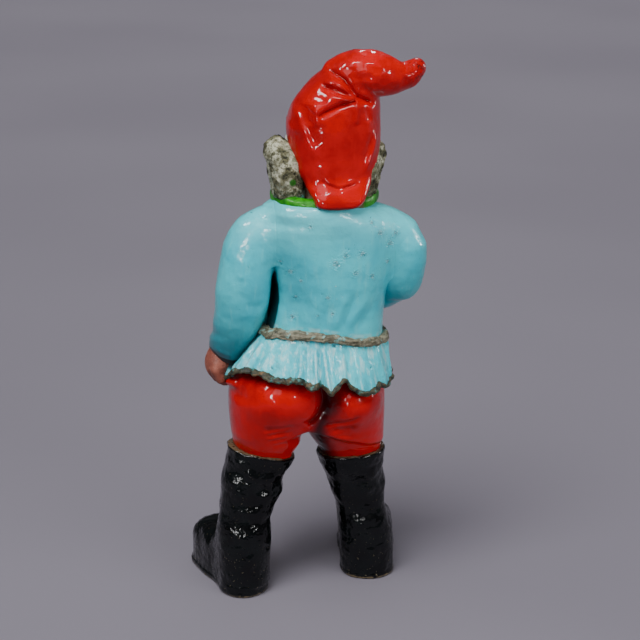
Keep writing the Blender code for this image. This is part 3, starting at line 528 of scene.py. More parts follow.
def cap_field(P):
    square = 2.15 + 1.5 * smooth((0.6250 - P[:, 2]) / 0.030)
    body = tower(P, CAP_BODY, square)
    body = smax(body, P[:, 2] - 0.7935, 0.016)
    # brim: level over the brow and ears, then down to the nape
    brim = Table((-0.075, 0.6880), (-0.045, 0.6880), (-0.015, 0.6830), (0.005, 0.6700), (0.020, 0.6420),
                 (0.032, 0.6050), (0.042, 0.5840), (0.090, 0.5830))(P[:, 1])[:, 0]
    brim = brim + 0.0012 * np.sin(P[:, 0] * 95 + 0.7)
    body = smax(body, (brim - P[:, 2]) * 0.75, 0.003)
    roll = chain(P, CAP_ROLL, steps=3)
    roll = smin(roll, chain(P, ((-0.128, 0.0245, 0.7600, 0.0150), (-0.1400, 0.0240, 0.7705, 0.0098)), 1), 0.01)
    d = smin(body, roll, 0.005)
    # rolled brim over the brow, dying out at the temples
    front = tower(P, CAP_BODY, 2.15)
    rim = np.sqrt((front + 0.0010) ** 2 + (P[:, 2] - brim - 0.0055) ** 2) - 0.0062
    rim = rim + np.clip(P[:, 1] + 0.040, 0, 1) * 0.35
    d = smin(d, rim, 0.005)
    # folds where the bag of the cap is bent over
    d = fold(P, d, ((-0.0160, 0.7700), (-0.0228, 0.7638), (-0.0325, 0.7580), (-0.0402, 0.7475), (-0.0470, 0.7392),
                    (-0.0527, 0.7334), (-0.0649, 0.7278), (-0.0800, 0.7215)), 0.0048, 0.0078, lap=0.0030, reach=0.010, ends=0.15)
    d = fold(P, d, ((-0.0100, 0.7585), (-0.0210, 0.7545), (-0.0330, 0.7480), (-0.0440, 0.7385)), 0.0050, -0.0022)
    d = fold(P, d, ((-0.0010, 0.7490), (-0.0120, 0.7462), (-0.0249, 0.7425), (-0.0370, 0.7384), (-0.0480, 0.7335)), 0.0042, 0.0060)
    d = fold(P, d, ((-0.0020, 0.7370), (-0.0180, 0.7362), (-0.0320, 0.7345), (-0.0450, 0.7318)), 0.0048, -0.0024)
    d = fold(P, d, ((-0.0500, 0.7296), (-0.0467, 0.7299), (-0.0310, 0.7267), (-0.0144, 0.7203), (-0.0010, 0.7133), (0.0040, 0.7080)),
             0.0044, 0.0062, lap=0.0042, reach=0.013, ends=0.16)
    d = fold(P, d, ((-0.0078, 0.7560), (-0.0125, 0.7535), (-0.0185, 0.7530)), 0.0028, -0.0020)
    d = fold(P, d, ((-0.0500, 0.7290), (-0.0512, 0.7200), (-0.0490, 0.7080), (-0.0500, 0.6960)), 0.0040, -0.0020)
    d = fold(P, d, ((-0.0620, 0.7240), (-0.0660, 0.7120), (-0.0690, 0.6980)), 0.0050, 0.0016)
    d = fold(P, d, ((0.0085, 0.7310), (0.0070, 0.7200), (0.0060, 0.7080), (0.0050, 0.6930)), 0.0065, -0.0030)
    d = fold(P, d, ((0.0160, 0.7260), (0.0150, 0.7100), (0.0130, 0.6960)), 0.0055, 0.0018)
    # long fold down the gnome's left of the crown
    d = fold(P, d, ((0.0300, 0.7220), (0.0295, 0.7149), (0.0262, 0.7019), (0.0202, 0.6835), (0.0125, 0.6637), (0.0070, 0.6480)),
             0.0068, -0.0024, ends=0.3)
    d = fold(P, d, ((0.0250, 0.7200), (0.0235, 0.7120), (0.0190, 0.6970), (0.0125, 0.6800), (0.0050, 0.6620)),
             0.0066, 0.0018, ends=0.3)
    # ridge down the gnome's right edge
    d = fold(P, d, ((-0.0790, 0.6880), (-0.0778, 0.6720), (-0.0740, 0.6570), (-0.0672, 0.6425), (-0.0610, 0.6270)), 0.0042, -0.0026, ends=0.3)
    d = fold(P, d, ((-0.0700, 0.6850), (-0.0690, 0.6700), (-0.0640, 0.6540), (-0.0570, 0.6400)), 0.0060, 0.0020, ends=0.35)
    # the hollow of the nape and the crease above the turned-out flap
    d = fold(P, d, ((-0.0300, 0.6800), (-0.0280, 0.6600), (-0.0260, 0.6400)), 0.0170, 0.0018, ends=0.4)
    d = fold(P, d, ((0.0010, 0.6230), (-0.0029, 0.6194), (-0.0137, 0.6140), (-0.0246, 0.6104), (-0.0362, 0.6129), (-0.0482, 0.6157), (-0.0540, 0.6190)),
             0.0026, 0.0020, ends=0.2)
    d = fold(P, d, ((-0.0029, 0.6235), (-0.0137, 0.6182), (-0.0246, 0.6146), (-0.0362, 0.6170), (-0.0482, 0.6197)),
             0.0024, -0.0013, ends=0.2)
    d = fold(P, d, ((0.0110, 0.6050), (0.0075, 0.5950), (0.0060, 0.5860)), 0.0034, -0.0012)
    d = fold(P, d, ((-0.0555, 0.6060), (-0.0530, 0.5960), (-0.0515, 0.5860)), 0.0034, -0.0014)
    return d


# ---------------------------------------------------------------- head, hair, beard
EYE = (0.0195, -0.0535, 0.6655)


def eye_top(m):
    return 0.6677 - (m[:, 0] - 0.0195) ** 2 * 42


def eye_low(m):
    return 0.6618 + (m[:, 0] - 0.0195) ** 2 * 26


def head_field(P):
    q = P - np.array([HEAD_X, 0.0, 0.0])
    m = q.copy()
    m[:, 0] = np.abs(m[:, 0])
    d = ball(q, (0, -0.002, 0.655), (0.0560, 0.0610, 0.0720))
    d = smin(d, ball(q, (0, -0.022, 0.628), (0.0470, 0.0400, 0.0420)), 0.02)
    neck = np.maximum(np.hypot(q[:, 0], q[:, 1]) - 0.0415, 0.5545 - P[:, 2])
    neck = np.maximum(neck, P[:, 2] - 0.65)
    d = smin(d, neck, 0.012)
    # cheeks, brow, chin mass
    d = smin(d, ball(m, (0.0270, -0.0430, 0.6420), (0.0170, 0.0175, 0.0155)), 0.012)
    # eye hollows, eyeballs and lids
    d = smax(d, -ball(m, (0.0200, -0.0640, 0.6660), (0.0125, 0.0090, 0.0080)), 0.006)
    d = smin(d, ball(m, EYE, (0.0092, 0.0092, 0.0088)), 0.0015)
    lid = ball(m, (EYE[0], EYE[1], EYE[2] + 0.0007), (0.0108, 0.0108, 0.0104))
    d = smin(d, np.maximum(lid, eye_top(m) - P[:, 2]), 0.0012)
    d = smin(d, np.maximum(lid, P[:, 2] - eye_low(m)), 0.0012)
    # bushy brows
    brow = chain(m, ((0.0085, -0.0620, 0.6806, 0.0032), (0.0155, -0.0625, 0.6822, 0.0042), (0.0240, -0.0600, 0.6814, 0.0044),
                     (0.0325, -0.0535, 0.6768, 0.0030)), 3)
    brow = brow + 0.0007 * np.sin(m[:, 0] * 1300 + P[:, 2] * 700)
    d = smin(d, brow, 0.0025)
    # nose
    nose = chain(q, ((0, -0.0540, 0.6750, 0.0055), (0, -0.0620, 0.6660, 0.0062), (0, -0.0700, 0.6560, 0.0082),
                     (0, -0.0740, 0.6510, 0.0102)), 3)
    nose = smin(nose, ball(m, (0.0092, -0.0665, 0.6490), (0.0062, 0.0080, 0.0060)), 0.004)
    d = smin(d, nose, 0.005)
    d = smax(d, -ball(m, (0.0052, -0.0700, 0.6425), (0.0026, 0.0038, 0.0030)), 0.002)
    # lower lip just above the beard
    return smin(d, chain(q, ((-0.0120, -0.0600, 0.6275, 0.0030), (0, -0.0650, 0.6265, 0.0042), (0.0120, -0.0600, 0.6275, 0.0030)), 3), 0.004)


def lock_field(P, side):
    """Side hair: a rough clump from the brim down to the collar."""
    q = P.copy()
    q[:, 0] = (P[:, 0] + 0.0085) * side
    if side > 0:
        rows = Table(
            (0.5900, 0.0700, 0.0250, -0.0250, 0.0400), (0.6050, 0.0722, 0.0250, -0.0300, 0.0440),
            (0.6200, 0.0745, 0.0250, -0.0320, 0.0450), (0.6400, 0.0780, 0.0260, -0.0310, 0.0430),
            (0.6500, 0.0805, 0.0300, -0.0290, 0.0380), (0.6620, 0.0790, 0.0400, -0.0240, 0.0310),
            (0.6720, 0.0730, 0.0500, -0.0160, 0.0210))
    else:
        rows = Table(
            (0.5900, 0.0740, 0.0250, -0.0250, 0.0440), (0.6050, 0.0790, 0.0250, -0.0300, 0.0480),
            (0.6200, 0.0835, 0.0250, -0.0320, 0.0480), (0.6380, 0.0890, 0.0260, -0.0310, 0.0450),
            (0.6500, 0.0905, 0.0300, -0.0290, 0.0400), (0.6600, 0.0885, 0.0400, -0.0240, 0.0320),
            (0.6700, 0.0800, 0.0500, -0.0160, 0.0210))
    d = tower(q, rows, 2.3)
    d = smax(d, P[:, 2] - rows.k[-1], 0.012)
    d = smax(d, 0.5890 - P[:, 2], 0.004)
    s = int(side)
    d = d + 0.0036 * fbm(P * np.array([1.0, 1.0, 0.7]), 0.017, 3, 5 + s)
    d = d + 0.0011 * noise(P * np.array([1.0, 1.0, 0.55]), 0.0045, 31 + s)
    return d


def beard_field(P):
    q = P - np.array([HEAD_X, 0.0, 0.0])
    rows = Table(
        (0.4940, 0.0060, -0.0100, -0.0880, -0.0600), (0.5080, 0.0200, -0.0220, -0.0930, -0.0560),
        (0.5300, 0.0310, -0.0320, -0.0970, -0.0500), (0.5560, 0.0400, -0.0400, -0.0990, -0.0420),
        (0.5850, 0.0460, -0.0460, -0.0970, -0.0360), (0.6050, 0.0480, -0.0480, -0.0900, -0.0300),
        (0.6200, 0.0480, -0.0480, -0.0810, -0.0240), (0.6330, 0.0500, -0.0500, -0.0690, -0.0180))
    d = tower(q, rows, 2.2)
    d = smax(d, P[:, 2] - 0.6330, 0.010)
    d = smax(d, 0.4945 - P[:, 2], 0.006)
    # mouth opening under the moustache
    d = smax(d, -ball(q, (0, -0.0740, 0.6300), (0.0130, 0.0200, 0.0055)), 0.004)
    # sideburns up to the cap
    m = q.copy()
    m[:, 0] = np.abs(m[:, 0])
    d = smin(d, chain(m, ((0.0430, -0.0250, 0.6850, 0.0100), (0.0470, -0.0300, 0.6550, 0.0115), (0.0440, -0.0400, 0.6250, 0.0150)), 3), 0.010)
    # wavy locks
    wave = 0.0050 * np.sin(P[:, 2] * 70 + 2.2 * noise(q * np.array([1, 1, 0.3]), 0.02, 12))
    a = (q[:, 0] + wave) / (0.0085 + 0.006 * smooth((P[:, 2] - 0.49) / 0.13))
    lock = np.abs(np.sin(a * 1.75 + 0.4))
    d = d + 0.0030 * (0.55 - lock ** 0.7)
    fine = np.sin(a * 11.0 + 3.0 * noise(q * np.array([1, 1, 0.25]), 0.012, 13))
    return d - 0.00055 * fine


def moustache_field(P):
    q = P - np.array([HEAD_X, 0.0, 0.0])
    m = q.copy()
    m[:, 0] = np.abs(m[:, 0])
    d = chain(m, ((0.0010, -0.0730, 0.6385, 0.0062), (0.0110, -0.0755, 0.6370, 0.0080), (0.0230, -0.0735, 0.6310, 0.0078),
                  (0.0340, -0.0690, 0.6240, 0.0060), (0.0430, -0.0650, 0.6210, 0.0030)), 4)
    a = (P[:, 2] - 0.6385 + m[:, 0] * 0.42) / 0.0028 + 1.2 * noise(q, 0.012, 14)
    return d + 0.0006 * np.sin(a * 2.6)


# ---------------------------------------------------------------- collar
def collar_field(P):
    cx, cy = -0.0140, 0.0
    x, y = P[:, 0] - cx, P[:, 1] - cy
    ry = np.where(y > 0, 0.0620, 0.0610)
    r = np.hypot(x, y) + 1e-6
    rho = np.sqrt((x / 0.0708) ** 2 + (y / ry) ** 2) + 1e-6
    radial = r - r / rho
    # a flat band lying on the shoulders, a little wavy
    z = P[:, 2] - 0.5915 - 0.0012 * noise(P, 0.026, 3) + 0.0050 * smooth((y - 0.01) / 0.045)
    dz = z + radial * 0.45
    d = (np.abs(radial / 0.0066) ** 2.8 + np.abs(dz / 0.0078) ** 2.8) ** (1 / 2.8)
    d = (d - 1) * 0.0062
    # front opening with two pointed ends
    fx = P[:, 0] - HEAD_X
    opening = np.where(P[:, 1] < 0, np.abs(fx) - 0.010 - (P[:, 2] - 0.585) * 0.3, 1.0)
    return np.where(P[:, 1] < -0.02, smax(d, -opening, 0.002), d)


# ---------------------------------------------------------------- jacket: torso and arms share one field
TORSO = Table(
    (0.3700, 0.0700, -0.0985, -0.0770, 0.0640),
    (0.3900, 0.0720, -0.0985, -0.0800, 0.0650),
    (0.4000, 0.0690, -0.0990, -0.0825, 0.0655),
    (0.4100, 0.0655, -0.0995, -0.0845, 0.0660),
    (0.4240, 0.0625, -0.1010, -0.0862, 0.0668),
    (0.4400, 0.0605, -0.1035, -0.0870, 0.0680),
    (0.4550, 0.0600, -0.1060, -0.0855, 0.0700),
    (0.4750, 0.0620, -0.1100, -0.0810, 0.0720),
    (0.5000, 0.0680, -0.1150, -0.0745, 0.0735),
    (0.5200, 0.0740, -0.1180, -0.0695, 0.0742),
    (0.5380, 0.0760, -0.1180, -0.0650, 0.0748),
    (0.5500, 0.0740, -0.1140, -0.0620, 0.0752),
    (0.5600, 0.0680, -0.1050, -0.0600, 0.0752),
    (0.5700, 0.0680, -0.0900, -0.0570, 0.0744),
    (0.5780, 0.0630, -0.0770, -0.0530, 0.0726),
    (0.5840, 0.0580, -0.0700, -0.0500, 0.0690),
)
ARM_LEFT = Table(
    (0.3380, 0.1440, 0.0980, -0.0560, 0.0070),
    (0.3560, 0.1490, 0.0900, -0.0550, 0.0120),
    (0.3660, 0.1512, 0.0860, -0.0530, 0.0160),
    (0.3780, 0.1505, 0.0820, -0.0500, 0.0200),
    (0.3900, 0.1465, 0.0785, -0.0465, 0.0245),
    (0.4020, 0.1465, 0.0745, -0.0430, 0.0290),
    (0.4140, 0.1450, 0.0705, -0.0400, 0.0330),
    (0.4260, 0.1440, 0.0675, -0.0370, 0.0370),
    (0.4380, 0.1440, 0.0650, -0.0345, 0.0405),
    (0.4500, 0.1440, 0.0630, -0.0330, 0.0430),
    (0.4740, 0.1405, 0.0610, -0.0320, 0.0455),
    (0.4980, 0.1365, 0.0550, -0.0320, 0.0450),
    (0.5210, 0.1315, 0.0450, -0.0330, 0.0430),
    (0.5330, 0.1265, 0.0400, -0.0320, 0.0415),
    (0.5450, 0.1200, 0.0300, -0.0300, 0.0390),
    (0.5570, 0.1100, 0.0200, -0.0250, 0.0350),
    (0.5680, 0.0930, 0.0100, -0.0180, 0.0290),
    (0.5760, 0.0740, 0.0050, -0.0080, 0.0200),
)
ARM_RIGHT = Table(
    (0.4280, -0.1060, -0.1340, -0.0180, 0.0120),
    (0.4360, -0.1000, -0.1440, -0.0260, 0.0230),
    (0.4440, -0.0950, -0.1490, -0.0300, 0.0300),
    (0.4550, -0.0900, -0.1535, -0.0320, 0.0370),
    (0.4740, -0.0880, -0.1580, -0.0320, 0.0430),
    (0.4980, -0.0880, -0.1610, -0.0310, 0.0450),
    (0.5100, -0.0870, -0.1610, -0.0310, 0.0450),
    (0.5330, -0.0760, -0.1510, -0.0320, 0.0430),
    (0.5450, -0.0650, -0.1450, -0.0310, 0.0400),
    (0.5570, -0.0500, -0.1290, -0.0260, 0.0360),
    (0.5680, -0.0350, -0.1075, -0.0190, 0.0300),
    (0.5760, -0.0300, -0.0830, -0.0090, 0.0200),
)
FOREARM = ((-0.1210, 0.0020, 0.4650, 0.0300), (-0.1200, -0.0230, 0.4600, 0.0350), (-0.1120, -0.0490, 0.4530, 0.0345),
           (-0.0980, -0.0735, 0.4450, 0.0325), (-0.0810, -0.0930, 0.4360, 0.0305), (-0.0655, -0.1035, 0.4290, 0.0275))


def cuff_line(P):
    """Height of the left cuff: it climbs towards the outside of the wrist."""
    x = P[:, 0]
    out = 0.3440 + 0.30 * (x - 0.1210) + 0.0070 * smooth((x - 0.1360) / 0.016)
    return np.minimum(np.where(x < 0.1210, 0.3440 + (0.1210 - x) * 0.06, out), 0.3630)


ARM_GAP = ((0.0640, 0.4960), (0.0620, 0.4880), (0.0612, 0.4700), (0.0612, 0.4500), (0.0615, 0.4350), (0.0640, 0.4200),
           (0.0690, 0.4000), (0.0720, 0.3880))


def arm_gap(P, d):
    """The deep slot between the hanging arm and the back of the jacket."""
    return fold(P, d, ARM_GAP, 0.0048, 0.0026, ends=0.10)


def left_arm(P):
    d = tower(P, ARM_LEFT, 2.15)
    d = smax(d, P[:, 2] - 0.5780, 0.006)
    d = smax(d, (cuff_line(P) - P[:, 2]) * 0.85, 0.0025)
    # web of cement joining the arm to the side, in front of the gap
    m = near(P, ((0.064, -0.020, 0.495), (0.080, -0.026, 0.375)), 0.05)
    if m.any():
        d[m] = smin(d[m], chain(P[m], ((0.0610, -0.0180, 0.4950, 0.0130), (0.0640, -0.0200, 0.4500, 0.0140),
                                       (0.0700, -0.0220, 0.4100, 0.0150), (0.0830, -0.0270, 0.3760, 0.0140)), 2), 0.006)
    # soft cross folds inside the elbow and above the cuff
    d = fold(P, d, ((0.0760, 0.4330), (0.0900, 0.4390), (0.1060, 0.4400)), 0.0060, 0.0014)
    d = fold(P, d, ((0.0800, 0.4180), (0.0980, 0.4240), (0.1180, 0.4230)), 0.0070, -0.0012)
    d = fold(P, d, ((0.1480, 0.3720), (0.1360, 0.3625), (0.1180, 0.3590)), 0.0042, -0.0013)
    d = fold(P, d, ((0.1080, 0.5130), (0.1090, 0.4950), (0.1110, 0.4760)), 0.0070, -0.0012)
    return arm_gap(P, d)


def right_arm(P):
    d = tower(P, ARM_RIGHT, 2.15)
    d = smax(d, P[:, 2] - 0.5765, 0.006)
    d = smax(d, 0.4290 - P[:, 2], 0.012)
    m = near(P, np.array(FOREARM)[:, :3], 0.075)
    f = np.full(len(P), 0.08)
    if m.any():
        f[m] = chain(P[m], FOREARM, 4)
        # cuff end
        end = np.array([-0.0655, -0.1035, 0.4290])
        way = end - np.array([-0.0810, -0.0930, 0.4360])
        way = way / np.linalg.norm(way)
        f[m] = smax(f[m], (P[m] - end) @ way - 0.006, 0.004)
        f[m] -= 0.0010 * np.sin((P[m] - end) @ way * 330 + 3 * P[m][:, 2] * 60) * smooth(-((P[m] - end) @ way + 0.012) / 0.02)
    # the sleeve hangs full below the elbow
    d = smin(d, f, 0.014)
    return smin(d, ball(P, (-0.1030, -0.0280, 0.4410), (0.0300, 0.0340, 0.0320)), 0.014)


def jacket_all(P):
    t = tower(P, TORSO, 2.35)
    t = smax(t, P[:, 2] - 0.5850, 0.004)
    a = left_arm(P)
    b = right_arm(P)
    k = 0.006 + 0.016 * smooth((P[:, 2] - 0.44) / 0.07)
    d = smin(t, a, k)
    d = smin(d, b, 0.006 + 0.014 * smooth((P[:, 2] - 0.46) / 0.06))
    # soft vertical folds gathered by the belt
    return back_folds(P, d)


def back_folds(P, d):
    d = fold(P, d, ((0.0100, 0.4030), (0.0108, 0.4200), (0.0085, 0.4430), (0.0040, 0.4620)), 0.0065, -0.0016, ends=0.35)
    d = fold(P, d, ((-0.0205, 0.4030), (-0.0215, 0.4180), (-0.0310, 0.4440), (-0.0360, 0.4600)), 0.0070, -0.0017, ends=0.35)
    d = fold(P, d, ((-0.0430, 0.4030), (-0.0440, 0.4200), (-0.0580, 0.4380), (-0.0700, 0.4560)), 0.0075, -0.0020, ends=0.35)
    d = fold(P, d, ((0.0380, 0.4000), (0.0360, 0.4200), (0.0340, 0.4450), (0.0250, 0.4700)), 0.0075, 0.0018, ends=0.35)
    d = fold(P, d, ((-0.0040, 0.4000), (-0.0040, 0.4200), (-0.0120, 0.4480)), 0.0065, 0.0018, ends=0.35)
    d = fold(P, d, ((-0.0330, 0.4000), (-0.0335, 0.4200), (-0.0440, 0.4480), (-0.0500, 0.4650)), 0.0060, 0.0019, ends=0.35)
    d = fold(P, d, ((-0.0600, 0.4000), (-0.0620, 0.4150), (-0.0730, 0.4330), (-0.0830, 0.4500)), 0.0070, 0.0018, ends=0.35)
    d = fold(P, d, ((0.0560, 0.4000), (0.0530, 0.4200), (0.0500, 0.4400)), 0.0060, -0.0012, ends=0.35)
    # shallow hollow between the shoulder blades and under them
    d = fold(P, d, ((-0.0200, 0.5600), (-0.0180, 0.5300), (-0.0180, 0.4900)), 0.0210, 0.0017, ends=0.4)
    d = fold(P, d, ((0.0400, 0.4930), (0.0100, 0.4800), (-0.0200, 0.4850), (-0.0550, 0.4790)), 0.0110, 0.0011, ends=0.4)
    return arm_gap(P, d)


JOINT_LEFT, JOINT_RIGHT = 0.0615, -0.1075


def body_field(P):
    # below the armpits only the torso belongs to this section
    d = jacket_all(P)
    t = back_folds(P, smax(tower(P, TORSO, 2.35), P[:, 2] - 0.5850, 0.004))
    w = smooth((P[:, 2] - 0.452) / 0.02)
    d = d * w + t * (1 - w)
    d = d + 0.0006 * w * (smooth((P[:, 0] - JOINT_LEFT + 0.0008) / 0.0016) + smooth((JOINT_RIGHT - P[:, 0] + 0.0008) / 0.0016))
    d = np.maximum(d, P[:, 0] - JOINT_LEFT - 0.004 - 0.05 * (1 - w))
    d = np.maximum(d, JOINT_RIGHT - 0.004 - P[:, 0] - 0.05 * (1 - w))
    return np.maximum(d, 0.3760 - P[:, 2])


def left_sleeve_field(P):
    d = jacket_all(P)
    w = smooth((P[:, 2] - 0.452) / 0.02)
    d = d * w + left_arm(P) * (1 - w)
    d = d + 0.0006 * smooth((JOINT_LEFT + 0.0008 - P[:, 0]) / 0.0016) * w
    return np.maximum(d, (JOINT_LEFT - 0.0035) - P[:, 0])


def right_sleeve_field(P):
    d = jacket_all(P)
    # the forearm crosses the belly below the joint, so only the upper arm is cut at the joint face
    w = smooth((P[:, 2] - 0.470) / 0.02) * smooth((P[:, 1] + 0.050) / 0.02)
    cut = P[:, 0] - (JOINT_RIGHT + 0.0035)
    upper = np.maximum(d + 0.0006 * smooth((P[:, 0] - JOINT_RIGHT + 0.0008) / 0.0016), cut)
    return upper * w + right_arm(P) * (1 - w)


# ---------------------------------------------------------------- skirt, belt
SKIRT = Table(
    (0.3000, 0.1290, -0.1062, -0.0960, 0.0985),
    (0.3200, 0.1285, -0.1062, -0.0950, 0.0975),
    (0.3300, 0.1270, -0.1060, -0.0935, 0.0955),
    (0.3420, 0.1240, -0.1055, -0.0910, 0.0915),
    (0.3540, 0.1150, -0.1048, -0.0880, 0.0865),
    (0.3660, 0.1055, -0.1050, -0.0855, 0.0805),
    (0.3780, 0.0960, -0.1035, -0.0840, 0.0750),
    (0.3900, 0.0850, -0.1025, -0.0830, 0.0712),
    (0.3976, 0.0775, -0.1020, -0.0830, 0.0705),
    (0.4050, 0.0700, -0.1020, -0.0830, 0.0700),
)
# hem height by the angle from straight back, positive towards the gnome's left
HEM = Table(
    (-180, 0.3230), (-165, 0.3310), (-150, 0.3200), (-135, 0.3300), (-120, 0.3190), (-105, 0.3290), (-92, 0.3250),
    (-76, 0.3215), (-63, 0.3140), (-53, 0.3210), (-38, 0.3140), (-29, 0.3260), (-21, 0.3375), (-16, 0.3290),
    (-10, 0.3235), (-5, 0.3290), (-1.5, 0.3345), (5, 0.3305), (10, 0.3330), (17, 0.3410), (23, 0.3390),
    (33, 0.3395), (45, 0.3440), (60, 0.3470), (75, 0.3380), (90, 0.3220), (105, 0.3300), (120, 0.3200),
    (135, 0.3300), (150, 0.3200), (165, 0.3310), (180, 0.3230))


def skirt_angle(P):
    return np.degrees(np.arctan2(P[:, 0] - 0.0080, P[:, 1] + 0.001))


def belt_line(P):
    """Height of the belt's middle: it hangs lower on the gnome's right."""
    lift = 0.0082 * np.exp(-((P[:, 0] - 0.0080) / 0.052) ** 2) * smooth(P[:, 1] / 0.03)
    return 0.3880 + 0.105 * (P[:, 0] + 0.0178) - 0.0030 * smooth((P[:, 0] - 0.055) / 0.02) + lift


def skirt_outer(P):
    d = tower(P, SKIRT, 2.25)
    a = skirt_angle(P)
    drop = np.clip((0.392 - P[:, 2]) / 0.075, 0, 1)
    hem = HEM(a)[:, 0]
    # lobes of the ruffle stand out where the hem hangs low
    lobe = np.clip((0.3320 - hem) / 0.014, -1, 1)
    d = d - 0.0045 * lobe * drop ** 1.6
    r = np.radians(a)
    wander = 1.3 * np.sin(r * 5 + 0.4) + 0.8 * np.sin(r * 3 - 1.0) + 0.5 * noise(P, 0.03, 21)
    pleat = np.sin(r * 24 + wander) + 0.55 * np.sin(r * 39 + 1.0 + 1.4 * wander)
    strong = 0.75 + 0.5 * np.sin(r * 4 + 2.0)
    d = d - 0.0031 * pleat * strong * smooth(drop * 2.4) * (1.0 - 0.15 * drop)
    return d


def skirt_field(P):
    d = skirt_outer(P)
    hem = HEM(skirt_angle(P))[:, 0]
    d = np.maximum(d, -(d + 0.0065))
    d = smax(d, (hem - P[:, 2]) * 0.8, 0.003)
    return smax(d, P[:, 2] - belt_line(P) - 0.002, 0.002)


def hem_trim_field(P):
    """The raised edging along the skirt's hem."""
    d = skirt_outer(P)
    hem = HEM(skirt_angle(P))[:, 0]
    z = (P[:, 2] - hem - 0.0016 - 0.0018 * noise(P, 0.010, 19)) * 0.80
    n = 0.8 * noise(P, 0.0075, 9) + 0.7 * noise(P, 0.0034, 10)
    return np.sqrt((d + 0.0004 + 0.0012 * noise(P, 0.009, 20)) ** 2 + z ** 2) - 0.0036 - 0.0014 * n


def belt_field(P):
    d = np.minimum(tower(P, TORSO, 2.35), tower(P, SKIRT, 2.25))
    z = P[:, 2] - belt_line(P)
    z = z + 0.0012 * noise(P, 0.022, 4)
    half = 0.0061 + 0.0008 * noise(P, 0.016, 6)
    out = ((np.abs(d) / 0.0050) ** 2.4 + (np.abs(z) / half) ** 2.4) ** (1 / 2.4)
    out = (out - 1) * 0.0050
    # worn strands of the cord run along it at a slant
    a = np.radians(skirt_angle(P))
    strand = np.sin(a * 14 + z * 1250 + 2.6 * noise(P, 0.02, 41))
    return out - 0.00035 * strand - 0.0010 * noise(P, 0.0070, 8) - 0.0005 * noise(P, 0.0030, 18)


# ---------------------------------------------------------------- trousers
SEAT = Table(
    (0.2500, 0.1200, -0.1000, -0.0660, 0.0600),
    (0.2700, 0.1230, -0.1003, -0.0730, 0.0660),
    (0.2850, 0.1238, -0.1003, -0.0770, 0.0690),
    (0.3000, 0.1240, -0.1003, -0.0785, 0.0700),
    (0.3200, 0.1235, -0.1000, -0.0785, 0.0700),
    (0.3350, 0.1150, -0.0990, -0.0775, 0.0680),
    (0.3450, 0.1000, -0.0960, -0.0760, 0.0660),
    (0.3700, 0.0700, -0.0930, -0.0740, 0.0600),
    (0.3900, 0.0600, -0.0920, -0.0720, 0.0580),
)
LEG_L = Table(
    (0.1900, 0.1170, 0.0380, -0.0330, 0.0390), (0.2080, 0.1170, 0.0335, -0.0350, 0.0425),
    (0.2150, 0.1165, 0.0290, -0.0380, 0.0460), (0.2240, 0.1185, 0.0235, -0.0420, 0.0510),
    (0.2350, 0.1215, 0.0210, -0.0480, 0.0570), (0.2450, 0.1236, 0.0170, -0.0530, 0.0630),
    (0.2600, 0.1238, 0.0060, -0.0610, 0.0700), (0.2800, 0.1240, 0.0030, -0.0680, 0.0740),
    (0.3100, 0.1235, 0.0050, -0.0720, 0.0740))
LEG_R = Table(
    (0.1800, -0.0150, -0.0965, -0.0520, 0.0230), (0.1960, -0.0125, -0.0985, -0.0545, 0.0270),
    (0.2050, -0.0080, -0.0990, -0.0565, 0.0310), (0.2160, 0.0000, -0.0995, -0.0590, 0.0380),
    (0.2300, 0.0090, -0.1000, -0.0620, 0.0480), (0.2400, 0.0120, -0.1001, -0.0640, 0.0560),
    (0.2480, 0.0150, -0.1002, -0.0660, 0.0600),
    (0.2650, 0.0150, -0.1004, -0.0700, 0.0680), (0.2850, 0.0150, -0.1005, -0.0730, 0.0720),
    (0.3100, 0.0100, -0.1005, -0.0740, 0.0720))


